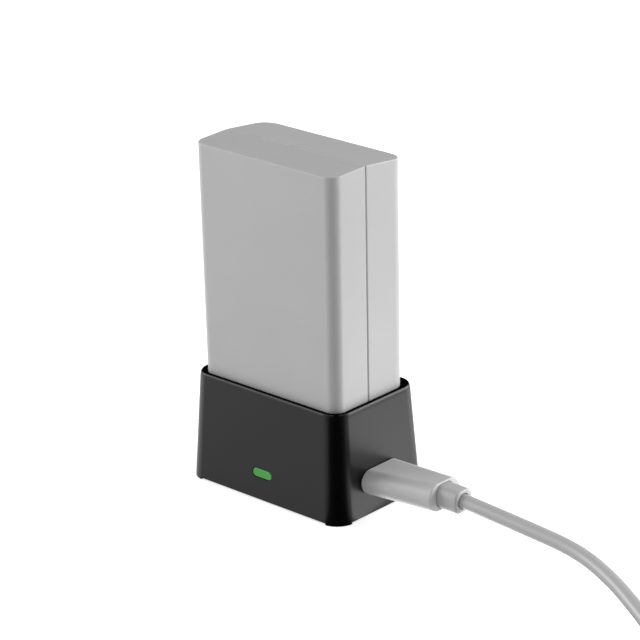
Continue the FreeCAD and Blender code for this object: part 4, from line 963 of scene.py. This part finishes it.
card_lift = 0.2 * MM
light_card_lift = 0.3 * MM
floor_card = fan("floor card", middle=(0.0190, -0.0115), radius=1.5, first=-95, last=9, height=card_lift)
# The light card is a painted reflection: a glowing panel that shows only where glossy surfaces mirror it.
light_card = fan("light card", (0.0235, -0.0090), radius=0.115, first=18, last=78, height=light_card_lift)
reflected_card("black floor card", floor_card, light=0)
reflected_card("light floor card", light_card, light=3.05)
reflected_card("black back card", standing("back card", radius=0.8, first=85, last=185, height=0.6), light=0)
corner_card = standing("corner card", radius=0.5, first=-87, last=13, height=0.35)
reflected_card("black corner card", corner_card, light=0)

sky_light = 0.43
world = bpy.data.worlds.new("studio")
bpy.context.scene.world = world
world.use_nodes = True
nodes, links = world.node_tree.nodes, world.node_tree.links
sky = nodes["Background"]
sky.inputs["Color"].default_value = (1, 1, 1, 1)
ambient = two_values(nodes, sky_light, 1)
links.new(seen_white(nodes, links), ambient.inputs["Value"])
links.new(ambient.outputs["Result"], sky.inputs["Strength"])


def softbox(name, azimuth, elevation, distance, size, power):
    """A flat lamp that faces the battery's middle from a direction: azimuth from +X, counterclockwise."""
    turn, rise = math.radians(azimuth), math.radians(elevation)
    aim = Vector((0, 0, 0.045))
    away = Vector((math.cos(turn) * math.cos(rise), math.sin(turn) * math.cos(rise), math.sin(rise)))
    lamp = bpy.data.lights.new(name, "AREA")
    lamp.shape = "RECTANGLE"
    lamp.size, lamp.size_y = size
    lamp.energy = power
    light = bpy.data.objects.new(name, lamp)
    bpy.context.collection.objects.link(light)
    facing = away.to_track_quat("Z", "Y").to_matrix().to_4x4()
    light.matrix_world = Matrix.Translation(aim + away * distance) @ facing


softbox("left softbox", azimuth=-150, elevation=22, distance=1.0, size=(0.7, 0.5), power=6.25)
softbox("right softbox", azimuth=57, elevation=15, distance=1.0, size=(0.7, 0.5), power=10.7)

# Camera. A long lens looks down on the dock's front right corner from 0.7 m away, turned and shifted as the
# picture is framed.
view_lens = 170.8
view_azimuth = math.radians(42.9203)
view_elevation = math.radians(21.5739)
view_roll = math.radians(-1.3927)
view_distance = 687.671 * MM
view_aside, view_up = 3.610 * MM, 9.037 * MM
view_middle = Vector((0, 0, 30)) * MM
view_back = Vector((
    math.sin(view_azimuth) * math.cos(view_elevation),
    -math.cos(view_azimuth) * math.cos(view_elevation),
    math.sin(view_elevation),
))
level_right = Vector((math.cos(view_azimuth), math.sin(view_azimuth), 0))
level_up = view_back.cross(level_right)
view_right = level_right * math.cos(view_roll) + level_up * math.sin(view_roll)
view_top = level_up * math.cos(view_roll) - level_right * math.sin(view_roll)
lens = bpy.data.cameras.new("camera")
lens.sensor_width = 36
lens.lens = view_lens
lens.clip_end = 20
camera = bpy.data.objects.new("camera", lens)
bpy.context.collection.objects.link(camera)
facing = Matrix((view_right, view_top, view_back)).transposed().to_4x4()
place = view_middle + view_back * view_distance + view_right * view_aside + view_top * view_up
camera.matrix_world = Matrix.Translation(place) @ facing
bpy.context.scene.camera = camera
bpy.context.scene.view_settings.view_transform = "Standard"
